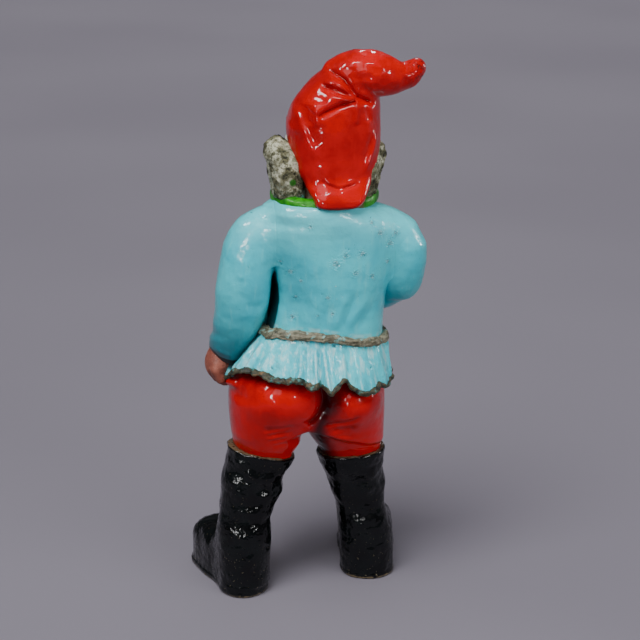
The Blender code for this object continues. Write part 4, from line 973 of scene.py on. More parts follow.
def trousers_field(P):
    seat = tower(P, SEAT, 2.35)
    seat = smax(seat, P[:, 2] - 0.3800, 0.004)
    seat = smax(seat, 0.2520 - 0.30 * np.abs(P[:, 0] - 0.018) - P[:, 2], 0.008)
    left = smax(tower(P, LEG_L, 2.2), P[:, 2] - 0.300, 0.01)
    right = smax(tower(P, LEG_R, 2.2), P[:, 2] - 0.300, 0.01)
    left = smax(left, 0.1900 - P[:, 2], 0.003)
    right = smax(right, 0.1800 - P[:, 2], 0.003)
    d = smin(seat, smin(left, right, 0.003), 0.008)
    # two halves of the seat; the left one laps over the right one at the cleft
    cheek_l = ball(P, (0.0530, 0.0350, 0.3000), (0.0545, 0.0520, 0.0455))
    cheek_r = ball(P, (-0.0430, 0.0350, 0.2930), (0.0470, 0.0520, 0.0400))
    d = smin(d, smin(cheek_l, cheek_r, 0.003), 0.010)
    d = fold(P, d, ((0.0080, 0.3550), (0.0060, 0.3320), (0.0000, 0.3120), (-0.0010, 0.2980), (0.0050, 0.2830), (0.0140, 0.2720), (0.0230, 0.2650)),
             0.0056, 0.0100, ends=0.12, lap=0.0030, reach=0.016)
    d = fold(P, d, ((-0.0060, 0.3500), (-0.0100, 0.3150), (-0.0090, 0.2900), (0.0000, 0.2720)), 0.0150, 0.0060, ends=0.25)
    # cloth gathered under the right half
    d = fold(P, d, ((0.0020, 0.2620), (-0.0122, 0.2650), (-0.0280, 0.2690), (-0.0444, 0.2750), (-0.0560, 0.2830)),
             0.0040, 0.0036, lap=0.0010, reach=0.009)
    d = fold(P, d, ((-0.0140, 0.2540), (-0.0300, 0.2570), (-0.0480, 0.2600)), 0.0042, 0.0020)
    d = fold(P, d, ((-0.0180, 0.2440), (-0.0330, 0.2445), (-0.0470, 0.2420)), 0.0034, 0.0016)
    # and several short wrinkles under the left half
    d = fold(P, d, ((0.0860, 0.2610), (0.0720, 0.2640), (0.0560, 0.2655), (0.0400, 0.2700)), 0.0036, 0.0022)
    d = fold(P, d, ((0.0825, 0.2520), (0.0680, 0.2545), (0.0520, 0.2560), (0.0380, 0.2600)), 0.0034, 0.0024)
    d = fold(P, d, ((0.0780, 0.2430), (0.0640, 0.2445), (0.0500, 0.2470)), 0.0032, 0.0020)
    d = fold(P, d, ((0.0720, 0.2350), (0.0600, 0.2360), (0.0480, 0.2390)), 0.0030, 0.0015)
    d = fold(P, d, ((0.0790, 0.2480), (0.0640, 0.2500), (0.0480, 0.2530)), 0.0030, -0.0014)
    # pocket mouth round the left hand
    lip = chain(P, ((0.1190, 0.0240, 0.3200, 0.0035), (0.1240, 0.0080, 0.3180, 0.0045), (0.1270, -0.0140, 0.3160, 0.0048),
                    (0.1230, -0.0340, 0.3180, 0.0045)), 4)
    return smin(d, lip, 0.008)


# ---------------------------------------------------------------- boots
BOOT_L = Table(
    (0.0000, 0.1330, 0.0950, -0.0160, 0.0520), (0.0060, 0.1370, 0.0915, -0.0170, 0.0555), (0.0130, 0.1385, 0.0885, -0.0170, 0.0560),
    (0.0170, 0.1390, 0.0805, -0.0170, 0.0565), (0.0400, 0.1395, 0.0795, -0.0170, 0.0565), (0.0650, 0.1410, 0.0770, -0.0160, 0.0550),
    (0.0900, 0.1425, 0.0740, -0.0160, 0.0540), (0.1040, 0.1440, 0.0715, -0.0180, 0.0520),
    (0.1160, 0.1440, 0.0670, -0.0190, 0.0510), (0.1290, 0.1430, 0.0620, -0.0220, 0.0500),
    (0.1420, 0.1415, 0.0560, -0.0250, 0.0500), (0.1540, 0.1405, 0.0510, -0.0280, 0.0505),
    (0.1670, 0.1405, 0.0500, -0.0310, 0.0505), (0.1790, 0.1385, 0.0450, -0.0340, 0.0490),
    (0.1900, 0.1345, 0.0350, -0.0380, 0.0480), (0.2000, 0.1330, 0.0322, -0.0400, 0.0490),
    (0.2100, 0.1300, 0.0300, -0.0410, 0.0495), (0.2300, 0.1280, 0.0300, -0.0400, 0.0480))
BOOT_R = Table(
    (0.0000, -0.0480, -0.1125, -0.0530, 0.0160), (0.0060, -0.0450, -0.1160, -0.0550, 0.0195), (0.0120, -0.0440, -0.1165, -0.0550, 0.0200),
    (0.0400, -0.0430, -0.1155, -0.0560, 0.0205), (0.0660, -0.0400, -0.1110, -0.0550, 0.0200),
    (0.0920, -0.0375, -0.1085, -0.0550, 0.0180), (0.1050, -0.0360, -0.1085, -0.0550, 0.0170),
    (0.1180, -0.0330, -0.1080, -0.0560, 0.0170), (0.1310, -0.0275, -0.1080, -0.0570, 0.0180),
    (0.1440, -0.0235, -0.1090, -0.0580, 0.0200), (0.1570, -0.0195, -0.1065, -0.0590, 0.0230),
    (0.1690, -0.0150, -0.1040, -0.0600, 0.0270), (0.1820, -0.0085, -0.1045, -0.0620, 0.0315),
    (0.1950, -0.0075, -0.1060, -0.0630, 0.0345), (0.2200, -0.0070, -0.1040, -0.0630, 0.0340))


def foot(P, heel, out, side, wide=0.0400, length=0.1150, high=0.0660, pinch=0.0065):
    """The part in front of the shaft: rounded box section, blunt toe."""
    c, s = math.cos(out), math.sin(out)
    fwd = np.array([side * s, -c])
    across = np.array([c, side * s])
    q = P[:, :2] - np.array(heel)
    u, v = q @ fwd, q @ across
    half = wide - pinch * smooth((0.070 - u) / 0.066)
    t = np.clip(u, 0, length)
    r = np.hypot(u - t, v)
    top = high + 0.030 * smooth((0.055 - u) / 0.055) - 0.010 * smooth((u - length) / 0.03)
    z = P[:, 2]
    crown = top - 0.16 * np.abs(v) ** 2 / 0.04
    # welt: the sole stands a little proud of the upper, and the foot swells over the toes
    d = r - half - 0.0022 * smooth((0.010 - z) / 0.004) - 0.002 * smooth((u - 0.06) / 0.04)
    return smax(smax(d, z - crown, 0.024), -z, 0.003)


LUMPS_L = (((0.1144, 0.0370, 0.2060), 0.0130, 0.0030), ((0.1012, 0.0420, 0.1871), 0.0110, 0.0034), ((0.1240, 0.0380, 0.1740), 0.0130, 0.0036),
           ((0.1170, 0.0440, 0.1560), 0.0120, 0.0034), ((0.0927, 0.0450, 0.1830), 0.0090, 0.0020), ((0.0740, 0.0440, 0.1800), 0.0110, 0.0026),
           ((0.0563, 0.0370, 0.1890), 0.0090, 0.0026), ((0.0843, 0.0440, 0.1239), 0.0130, 0.0018), ((0.1233, 0.0410, 0.1310), 0.0120, 0.0024),
           ((0.1043, 0.0570, 0.0603), 0.0130, 0.0020), ((0.0714, 0.0330, 0.0787), 0.0110, 0.0018), ((0.0830, 0.0460, 0.1640), 0.0130, -0.0034),
           ((0.1000, 0.0490, 0.1400), 0.0140, -0.0026), ((0.1180, 0.0440, 0.1910), 0.0090, -0.0024), ((0.0640, 0.0410, 0.1600), 0.0100, -0.0020),
           ((0.1150, 0.0500, 0.1080), 0.0160, -0.0020), ((0.0990, 0.0560, 0.0260), 0.0130, 0.0012))
LUMPS_R = (((-0.0226, 0.0058, 0.1714), 0.0120, 0.0022), ((-0.0484, 0.0272, 0.1790), 0.0110, 0.0020), ((-0.0829, 0.0203, 0.1660), 0.0120, 0.0030),
           ((-0.0383, 0.0080, 0.1240), 0.0110, 0.0018), ((-0.0760, 0.0175, 0.1430), 0.0110, 0.0022), ((-0.0583, 0.0188, 0.0627), 0.0120, 0.0012),
           ((-0.0830, 0.0238, 0.0317), 0.0130, 0.0016), ((-0.0620, 0.0220, 0.1560), 0.0150, -0.0026), ((-0.1000, 0.0060, 0.1500), 0.0110, -0.0020),
           ((-0.0560, 0.0160, 0.1100), 0.0160, -0.0016), ((-0.0780, 0.0190, 0.0950), 0.0140, 0.0010), ((-0.0950, 0.0080, 0.1830), 0.0100, 0.0024))


def lumps(P, d, places):
    d = d.copy()
    for c, r, h in places:
        m = near(P, (c, c), r * 2.4)
        if m.any():
            g = np.exp(-((P[m] - np.array(c)) ** 2).sum(1) / (0.5 * r * r))
            d[m] -= 1.7 * h * g
    return d


def left_rim(P):
    return 0.2125 + 0.215 * (P[:, 0] - 0.0820) + 0.03 * P[:, 1]


def right_rim(P):
    return 0.2010 - 0.07 * (P[:, 0] + 0.0560) + 0.03 * P[:, 1]


def left_boot_field(P):
    d = tower(P, BOOT_L, 2.2)
    d = lumps(P, d, LUMPS_L)
    rim = left_rim(P) + 0.0012 * noise(P, 0.016, 51)
    # rolled top edge
    d = d - 0.0016 * np.exp(-((P[:, 2] - rim + 0.004) / 0.0042) ** 2)
    d = smax(d, (P[:, 2] - rim) * 0.95, 0.003)
    # heel block steps in above the ground on the inner side
    d = d - 0.0016 * smooth((0.0185 - P[:, 2]) / 0.003) * smooth((P[:, 1] - 0.01) / 0.02)
    d = smax(d, -P[:, 2], 0.0025)
    f = foot(P, (0.1085, 0.0170), math.radians(12), 1, wide=0.0425, length=0.1070, high=0.0740, pinch=0.0105)
    # ankle creases at the front
    d = smax(smin(d, f, 0.030), -P[:, 2], 0.003)
    d = fold(P, d, ((0.0900, 0.1010), (0.1150, 0.0960), (0.1420, 0.1000)), 0.0050, 0.0028, side=-1)
    d = fold(P, d, ((0.0850, 0.1180), (0.1100, 0.1130), (0.1380, 0.1180)), 0.0050, 0.0022, side=-1)
    d = fold(P, d, ((0.0800, 0.1350), (0.1000, 0.1300), (0.1250, 0.1330)), 0.0060, -0.0022)
    d = fold(P, d, ((0.0660, 0.1180), (0.0850, 0.1120), (0.1080, 0.1140)), 0.0060, 0.0020)
    return d


def right_boot_field(P):
    d = tower(P, BOOT_R, 2.2)
    d = lumps(P, d, LUMPS_R)
    rim = right_rim(P) + 0.0012 * noise(P, 0.016, 52)
    d = d - 0.0016 * np.exp(-((P[:, 2] - rim + 0.004) / 0.0042) ** 2)
    d = smax(d, (P[:, 2] - rim) * 0.95, 0.003)
    d = smax(d, -P[:, 2], 0.0025)
    f = foot(P, (-0.0835, -0.0165), math.radians(8), -1)
    d = smax(smin(d, f, 0.020), -P[:, 2], 0.003)
    d = fold(P, d, ((-0.1150, 0.0970), (-0.0850, 0.0930), (-0.0580, 0.0970)), 0.0050, 0.0028, side=-1)
    d = fold(P, d, ((-0.1100, 0.1150), (-0.0800, 0.1100), (-0.0520, 0.1150)), 0.0050, 0.0022, side=-1)
    return fold(P, d, ((-0.0950, 0.1620), (-0.0750, 0.1590), (-0.0560, 0.1620)), 0.0060, 0.0016)


# ---------------------------------------------------------------- hands, buckle, buttons
def left_hand_field(P):
    d = ball(P, (0.1370, -0.0190, 0.3400), (0.0200, 0.0245, 0.0240), roll=math.radians(-18))
    d = smin(d, chain(P, ((0.1330, -0.0170, 0.3600, 0.0175), (0.1370, -0.0180, 0.3450, 0.0180)), 1), 0.008)
    d = smin(d, chain(P, ((0.1370, -0.0180, 0.3380, 0.0160), (0.1290, -0.0200, 0.3180, 0.0140)), 1), 0.006)
    for x, y in ((0.1440, -0.0010), (0.1475, -0.0110), (0.1475, -0.0210), (0.1445, -0.0310)):
        d = smin(d, chain(P, ((x - 0.005, y - 0.004, 0.3460, 0.0074), (x, y, 0.3350, 0.0082), (x - 0.007, y - 0.001, 0.3200, 0.0074)), 2), 0.0022)
    # thumb along the front of the pocket
    return smin(d, chain(P, ((0.1300, -0.0330, 0.3520, 0.0085), (0.1340, -0.0410, 0.3420, 0.0080), (0.1310, -0.0430, 0.3300, 0.0068)), 3), 0.004)


def right_hand_field(P):
    d = chain(P, ((-0.0680, -0.1020, 0.4300, 0.0165), (-0.0560, -0.1060, 0.4265, 0.0180), (-0.0430, -0.1060, 0.4230, 0.0185)),
              3, squash=(1.0, 0.85, 1.0))
    for z in (0.4370, 0.4270, 0.4170, 0.4080):
        y = -0.1060
        d = smin(d, chain(P, ((-0.0460, y - 0.0030, z + 0.001, 0.0075), (-0.0320, y - 0.0040, z - 0.001, 0.0070),
                              (-0.0190, y + 0.0060, z - 0.004, 0.0062), (-0.0140, y + 0.0140, z - 0.005, 0.0052)), 3), 0.0020)
    d = smin(d, chain(P, ((-0.0600, -0.1080, 0.4380, 0.0080), (-0.0470, -0.1120, 0.4480, 0.0070), (-0.0380, -0.1080, 0.4530, 0.0055)), 3), 0.004)
    return d


def box_field(P, centre, half, r):
    q = np.abs(P - np.array(centre)) - (np.array(half) - r)
    return np.sqrt((np.maximum(q, 0) ** 2).sum(1)) + np.minimum(q.max(1), 0) - r


BUCKLE = (-0.0140, -0.0860, 0.3895)


def buckle_field(P):
    d = box_field(P, BUCKLE, (0.0145, 0.0036, 0.0115), 0.0025)
    d = smax(d, -box_field(P, (BUCKLE[0], BUCKLE[1] - 0.0035, BUCKLE[2]), (0.0088, 0.0050, 0.0062), 0.0015), 0.001)
    return smin(d, chain(P, ((BUCKLE[0] - 0.010, BUCKLE[1] - 0.0022, BUCKLE[2], 0.0014),
                             (BUCKLE[0] + 0.008, BUCKLE[1] - 0.0022, BUCKLE[2], 0.0014)), 1), 0.0012)


def button_field(z, y):
    def f(P):
        d = ball(P, (-0.0190, y, z), (0.0066, 0.0040, 0.0066))
        ring = np.sqrt((np.hypot(P[:, 0] + 0.0190, P[:, 2] - z) - 0.0054) ** 2 + (P[:, 1] - y + 0.0018) ** 2) - 0.0011
        return smin(d, ring, 0.001)
    return f


# ================================================================ build list
JOBS = {
    "trousers_visual": (trousers_field, (-0.12, -0.10, 0.17), (0.15, 0.11, 0.39), ("trousers",), "red_gloss"),
    "jacket_body_visual": (body_field, (-0.13, -0.10, 0.37), (0.09, 0.085, 0.59), ("jacket_body",), "turquoise_gloss"),
    "jacket_skirt_visual": (skirt_field, (-0.13, -0.115, 0.29), (0.14, 0.115, 0.41), ("jacket_skirt",), "turquoise_gloss"),
    "left_boot_visual": (left_boot_field, (0.02, -0.16, -0.01), (0.20, 0.075, 0.24), ("left_boot",), "black_gloss"),
    "right_boot_visual": (right_boot_field, (-0.17, -0.19, -0.01), (0.01, 0.05, 0.23), ("right_boot",), "black_gloss"),
    "cap_visual": (cap_field, (-0.16, -0.08, 0.57), (0.06, 0.090, 0.81), ("cap",), "red_gloss"),
    "right_sleeve_visual": (right_sleeve_field, (-0.17, -0.14, 0.39), (-0.04, 0.06, 0.59), ("right_sleeve",), "turquoise_gloss"),
    "left_sleeve_visual": (left_sleeve_field, (0.04, -0.07, 0.33), (0.165, 0.06, 0.59), ("left_sleeve",), "turquoise_gloss"),
    "beard_visual": (beard_field, (-0.09, -0.115, 0.48), (0.05, 0.0, 0.70), ("beard",), "weathered_white"),
    "head_visual": (head_field, (-0.09, -0.095, 0.545), (0.05, 0.07, 0.735), ("head",), "flesh_paint"),
    "hem_edging_visual": (hem_trim_field, (-0.13, -0.115, 0.29), (0.14, 0.115, 0.36), (), "bronze_trim"),
    "belt_visual": (belt_field, (-0.12, -0.10, 0.36), (0.09, 0.085, 0.415), ("belt",), "bronze_trim"),
    "hair_left_visual": (lambda P: lock_field(P, 1), (0.0, -0.05, 0.58), (0.09, 0.06, 0.69), ("hair_left",), "weathered_white"),
    "hair_right_visual": (lambda P: lock_field(P, -1), (-0.11, -0.05, 0.58), (0.0, 0.06, 0.69), ("hair_right",), "weathered_white"),
    "moustache_visual": (moustache_field, (-0.08, -0.09, 0.60), (0.04, -0.05, 0.655), (), "weathered_white"),
    "collar_visual": (collar_field, (-0.10, -0.08, 0.57), (0.08, 0.085, 0.605), ("collar",), "green_gloss"),
    "belt_buckle_visual": (buckle_field, (-0.04, -0.095, 0.37), (0.01, -0.075, 0.41), ("belt_buckle",), "brass_paint"),
    "button_upper_visual": (button_field(0.4830, -0.0795), (-0.03, -0.09, 0.47), (-0.01, -0.07, 0.495), ("button_upper",), "brass_paint"),
    "button_middle_visual": (button_field(0.4520, -0.0858), (-0.03, -0.095, 0.44), (-0.01, -0.077, 0.465), ("button_middle",), "brass_paint"),
    "button_lower_visual": (button_field(0.4200, -0.0862), (-0.03, -0.095, 0.407), (-0.01, -0.077, 0.433), ("button_lower",), "brass_paint"),
    "left_hand_visual": (left_hand_field, (0.10, -0.06, 0.29), (0.17, 0.03, 0.39), ("left_hand",), "flesh_paint"),
    "right_hand_visual": (right_hand_field, (-0.10, -0.135, 0.39), (0.0, -0.07, 0.47), ("right_hand",), "flesh_paint"),
}
FINE = {"trousers_visual": 0.0015, "jacket_body_visual": 0.0015, "button_upper_visual": 0.0006, "button_middle_visual": 0.0006, "button_lower_visual": 0.0006,
        "belt_buckle_visual": 0.0007, "head_visual": 0.0010, "moustache_visual": 0.0008, "beard_visual": 0.0011,
        "left_hand_visual": 0.0011, "right_hand_visual": 0.0010, "belt_visual": 0.0011, "hem_edging_visual": 0.0011,
        "hair_left_visual": 0.0012, "hair_right_visual": 0.0012, "cap_visual": 0.0012, "collar_visual": 0.0012}


# ================================================================ cement skin on every section
# patches of crusty, bubbly paint on the back
CRUST = ((0.0430, 0.4920, 0.0075), (0.0290, 0.4800, 0.0050), (-0.0190, 0.5050, 0.0110), (-0.0330, 0.5170, 0.0080), (-0.0560, 0.5180, 0.0080),
         (0.0390, 0.4240, 0.0065), (0.0350, 0.4540, 0.0055), (-0.0080, 0.4560, 0.0060), (-0.0150, 0.4310, 0.0055), (0.0060, 0.4290, 0.0045),
         (-0.0830, 0.5450, 0.0085), (-0.0990, 0.5270, 0.0090), (-0.0960, 0.5000, 0.0070), (-0.0700, 0.5610, 0.0060), (-0.0470, 0.4900, 0.0080),
         (-0.0720, 0.4830, 0.0080), (0.0170, 0.5590, 0.0055), (-0.1080, 0.5400, 0.0075), (0.0560, 0.5050, 0.0050))
BLOWHOLES = ((0.0170, 0.5600, 0.0022), (0.0393, 0.5194, 0.0016), (0.0548, 0.5006, 0.0024), (0.0520, 0.4930, 0.0018),
             (0.0490, 0.4857, 0.0020), (0.0296, 0.4817, 0.0021), (0.0383, 0.4521, 0.0024), (0.0393, 0.4223, 0.0030),
             (-0.0364, 0.5254, 0.0026), (-0.0320, 0.5270, 0.0016), (-0.0597, 0.5154, 0.0024), (0.0005, 0.4610, 0.0022),
             (0.0073, 0.4283, 0.0022), (-0.0151, 0.4312, 0.0024), (-0.0694, 0.5670, 0.0022), (-0.0471, 0.4918, 0.0016),
             (-0.0940, 0.5410, 0.0018), (-0.0700, 0.5480, 0.0015), (0.0240, 0.5010, 0.0014), (-0.0220, 0.5100, 0.0014),
             (0.0640, 0.4700, 0.0016), (-0.0800, 0.4800, 0.0015), (0.0940, 0.5230, 0.0018), (0.1010, 0.4980, 0.0020))


def skin(name, P):
    """Outward shift of each surface point in metres, and a 0 to 1 mask of pits."""
    pit = np.zeros(len(P))
    if name in ("cap_visual", "trousers_visual"):
        h = 0.0008 * fbm(P, 0.026, 3, 61) + 0.00022 * fbm(P, 0.0062, 2, 62)
        if name == "cap_visual":
            tip = smooth((-0.118 - P[:, 0]) / 0.010)
            h = h + tip * 0.0007 * fbm(P, 0.0040, 2, 63)
            top = smooth((P[:, 2] - 0.745) / 0.01) * smooth((-0.02 - P[:, 0]) / 0.02) * (1 - tip)
            h = h + top * 0.0009 * noise(P * np.array([1.0, 1.0, 1.4]), 0.0110, 64)
        pit = pores(P, 0.016, 0.16, 0.0007, 0.0014, 65)
        h = h - 0.0005 * pit
    elif name in ("jacket_body_visual", "left_sleeve_visual", "right_sleeve_visual"):
        h = 0.0009 * fbm(P, 0.030, 3, 71) + 0.00026 * fbm(P, 0.0070, 2, 72)
        press, pit = spots(P, tuple((x, z, 0.72 * r) for x, z, r in BLOWHOLES), 0.55)
        small = pores(P, 0.0105, 0.16, 0.0008, 0.0017, 73)
        h = h + press - 0.0007 * small
        pit = np.maximum(pit, small * 0.8)
    elif name == "jacket_skirt_visual":
        h = 0.0005 * fbm(P, 0.016, 3, 81) + 0.00025 * fbm(P, 0.0055, 2, 82)
        rough = smooth((-0.078 - P[:, 0]) / 0.02) * smooth((0.352 - P[:, 2]) / 0.02) * (P[:, 1] > 0)
        h = h + rough * 0.0012 * fbm(P, 0.0060, 2, 83)
        press, pit = spots(P, ((-0.0165, 0.3850, 0.0030), (0.0720, 0.3560, 0.0018), (-0.0700, 0.3500, 0.0016)), 1.3)
        small = pores(P, 0.010, 0.12, 0.0007, 0.0014, 84)
        h = h + press - 0.0006 * small
        pit = np.maximum(pit, small * 0.7)
    elif name in ("left_boot_visual", "right_boot_visual"):
        h = 0.0017 * fbm(P, 0.022, 3, 91) + 0.0006 * fbm(P, 0.0075, 2, 92)
        h = h - 0.0013 * np.clip(1 - P[:, 2] / 0.012, 0, 1) * np.clip(h / 0.0013, -1, 1)
        small = pores(P, 0.012, 0.15, 0.0007, 0.0016, 93)
        h = h - 0.0006 * small
        h = np.where(P[:, 2] < 0.0015, 0, h)
        pit = small
    elif name in ("hair_left_visual", "hair_right_visual"):
        h = 0.0010 * fbm(P, 0.0042, 2, 101) + 0.0007 * fbm(P, 0.0100, 2, 102)
        small = pores(P, 0.006, 0.30, 0.0008, 0.0018, 103)
        h = h - 0.0012 * small
        pit = small
    elif name in ("beard_visual", "moustache_visual"):
        h = 0.0004 * fbm(P, 0.0060, 2, 111)
    elif name in ("left_hand_visual", "right_hand_visual"):
        h = 0.0004 * fbm(P, 0.0080, 2, 121) + 0.0002 * fbm(P, 0.0030, 2, 122)
        pit = pores(P, 0.007, 0.18, 0.0006, 0.0012, 123)
        h = h - 0.0005 * pit
    elif name == "head_visual":
        h = 0.00015 * fbm(P, 0.0080, 2, 131)
    elif name in ("belt_visual", "hem_edging_visual"):
        h = 0.0003 * fbm(P, 0.0035, 2, 141)
        pit = pores(P, 0.006, 0.2, 0.0006, 0.0013, 143)
        h = h - 0.0006 * pit
    elif name == "collar_visual":
        h = 0.0005 * fbm(P, 0.0120, 3, 151) + 0.0002 * fbm(P, 0.0040, 2, 152)
        pit = pores(P, 0.010, 0.12, 0.0006, 0.0012, 153)
        h = h - 0.0004 * pit
    else:
        h = 0.00008 * fbm(P, 0.0030, 2, 161)
    return h, pit


def special(name, P):
    """Extra 0 to 1 masks that the paints use: (one, two, three)."""
    one, two, three = (np.zeros(len(P)) for _ in range(3))
    if name == "head_visual":
        q = P - np.array([HEAD_X, 0.0, 0.0])
        m = q.copy()
        m[:, 0] = np.abs(m[:, 0])
        away = m - np.array(EYE)
        r = np.linalg.norm(away, axis=1)
        ball_on = smooth((0.0100 - r) / 0.0008) * (away[:, 1] < -0.002)
        gap = smooth((P[:, 2] - eye_low(m) + 0.0004) / 0.0007) * smooth((eye_top(m) + 0.0004 - P[:, 2]) / 0.0007)
        one = ball_on * gap
        ring = np.hypot(away[:, 0] + 0.0004, away[:, 2] + 0.0008)
        two = one * smooth((0.0037 - ring) / 0.0008) * (0.45 + 0.55 * smooth((0.0019 - ring) / 0.0006))
        lip = chain(q, ((-0.0110, -0.0600, 0.6275, 0.0030), (0, -0.0650, 0.6265, 0.0042), (0.0110, -0.0600, 0.6275, 0.0030)), 3)
        cheek = ball(m, (0.0290, -0.0560, 0.6450), (0.0130, 0.0120, 0.0110))
        nose = ball(m, (0.0, -0.0790, 0.6510), (0.0110, 0.0120, 0.0090))
        three = np.maximum(smooth(-lip / 0.001 + 0.8), 0.55 * np.maximum(smooth(-cheek / 0.012 + 0.5), smooth(-nose / 0.008 + 0.5)))
        brow = chain(m, ((0.0085, -0.0620, 0.6806, 0.0032), (0.0155, -0.0625, 0.6822, 0.0042), (0.0240, -0.0600, 0.6814, 0.0044),
                         (0.0325, -0.0535, 0.6768, 0.0030)), 3)
        hairy = smooth((0.0012 - brow) / 0.0012)
        one = np.maximum(one, -0.0 * hairy)
        three = np.where(hairy > 0.5, -1.0, three)
    elif name in ("left_boot_visual", "right_boot_visual"):
        rim = left_rim(P) if name[0] == "l" else right_rim(P)
        one = smooth((P[:, 2] - rim + 0.0014) / 0.0012)
        two = smooth((0.0042 - P[:, 2] + 0.0016 * noise(P, 0.008, 171)) / 0.0015)
    elif name == "trousers_visual":
        # mask one: painted shadow down the cleft of the seat and the inner side of the right leg
        run = ((-0.0030, 0.3550), (-0.0080, 0.3250), (-0.0090, 0.2980), (-0.0040, 0.2780), (0.0030, 0.2600), (0.0010, 0.2420), (-0.0050, 0.2250), (-0.0120, 0.2000))
        away = path_distance(P[:, [0, 2]], run)[0]
        one = np.exp(-(away / 0.0135) ** 2) * smooth((P[:, 1] + 0.03) / 0.02)
    elif name == "jacket_skirt_visual":
        hem = HEM(skirt_angle(P))[:, 0]
        one = smooth((hem + 0.0085 - P[:, 2]) / 0.006)
        two = smooth((P[:, 2] - belt_line(P) + 0.012) / 0.006)
    elif name in ("jacket_body_visual", "right_sleeve_visual"):
        one = smooth((belt_line(P) + 0.0130 - P[:, 2]) / 0.005) * (name[0] == "j")
        for x, z, r in CRUST:
            two = np.maximum(two, np.exp(-((P[:, 0] - x) ** 2 + (P[:, 2] - z) ** 2) / (0.6 * r * r)) * (P[:, 1] > 0))
    elif name == "collar_visual":
        tip = np.hypot(P[:, 0] + 0.0490, P[:, 1] - 0.058)
        one = smooth((0.015 - tip) / 0.006)
    elif name.startswith("hair"):
        one = smooth((0.0058 - np.hypot(P[:, 0] - 0.0375, P[:, 2] - 0.6165)) / 0.002) * (P[:, 1] > 0)
    elif name == "cap_visual":
        one = smooth((-0.122 - P[:, 0]) / 0.012)
        # two: painted shade along the flap's lower edge, where it meets the jacket
        two = smooth((0.5885 - P[:, 2]) / 0.003)
    elif name == "left_sleeve_visual":
        one = smooth((0.0078 - (P[:, 2] - cuff_line(P))) / 0.0012)
    if name in ("jacket_body_visual", "jacket_skirt_visual"):
        # dark painted shade in the slot beside the hanging arm, on the body's side wall and on the skirt beside the
        # sleeve
        m = (P[:, 0] > 0.045) & (P[:, 1] > -0.03) & (P[:, 1] < 0.05) & (P[:, 2] < 0.50)
        q = P[m]
        slot = smooth((0.0095 - left_arm(q)) / 0.0050)
        if name == "jacket_body_visual":
            slot = np.maximum(slot, smooth((0.0262 - q[:, 1]) / 0.0060) * smooth((q[:, 0] - 0.0500) / 0.0040))
        three[m] = slot * smooth((0.4930 - q[:, 2]) / 0.0100)
    elif name == "left_sleeve_visual":
        # painted shade on the sleeve's inner side at the slot beside the body
        three = smooth((0.0240 - P[:, 1]) / 0.0060) * smooth((0.0700 - P[:, 0]) / 0.0040) * (P[:, 1] > -0.02) * (P[:, 2] < 0.488)
    return one, two, three


def make(name):
    field, low, high, nodes, slot = JOBS[name]
    verts, quads = surface(field, low, high, FINE.get(name, CELL))
    verts, quads = keep_largest(verts, quads)
    verts = relax(verts, quads, 1, 0.4)
    nrm = normals(verts, quads)
    h, pit = skin(name, verts)
    before = verts
    verts = verts + nrm * h[:, None]
    nrm = normals(verts, quads)
    soft = relax(verts, quads, 6, 0.6)
    edge = -((soft - verts) * nrm).sum(1) / 0.00045
    one, two, three = special(name, before)
    print(name, len(verts), "points")
    return name, verts, quads, {"edge": np.clip(edge, -1.5, 1.5), "pit": pit, "one": one, "two": two, "three": three}


with ThreadPoolExecutor(4) as pool:
    built = list(pool.map(make, JOBS))


# ================================================================ paints
def srgb(r, g, b):
    def lin(c):
        c /= 255.0
        return c / 12.92 if c <= 0.04045 else ((c + 0.055) / 1.055) ** 2.4
    return (lin(r), lin(g), lin(b), 1.0)


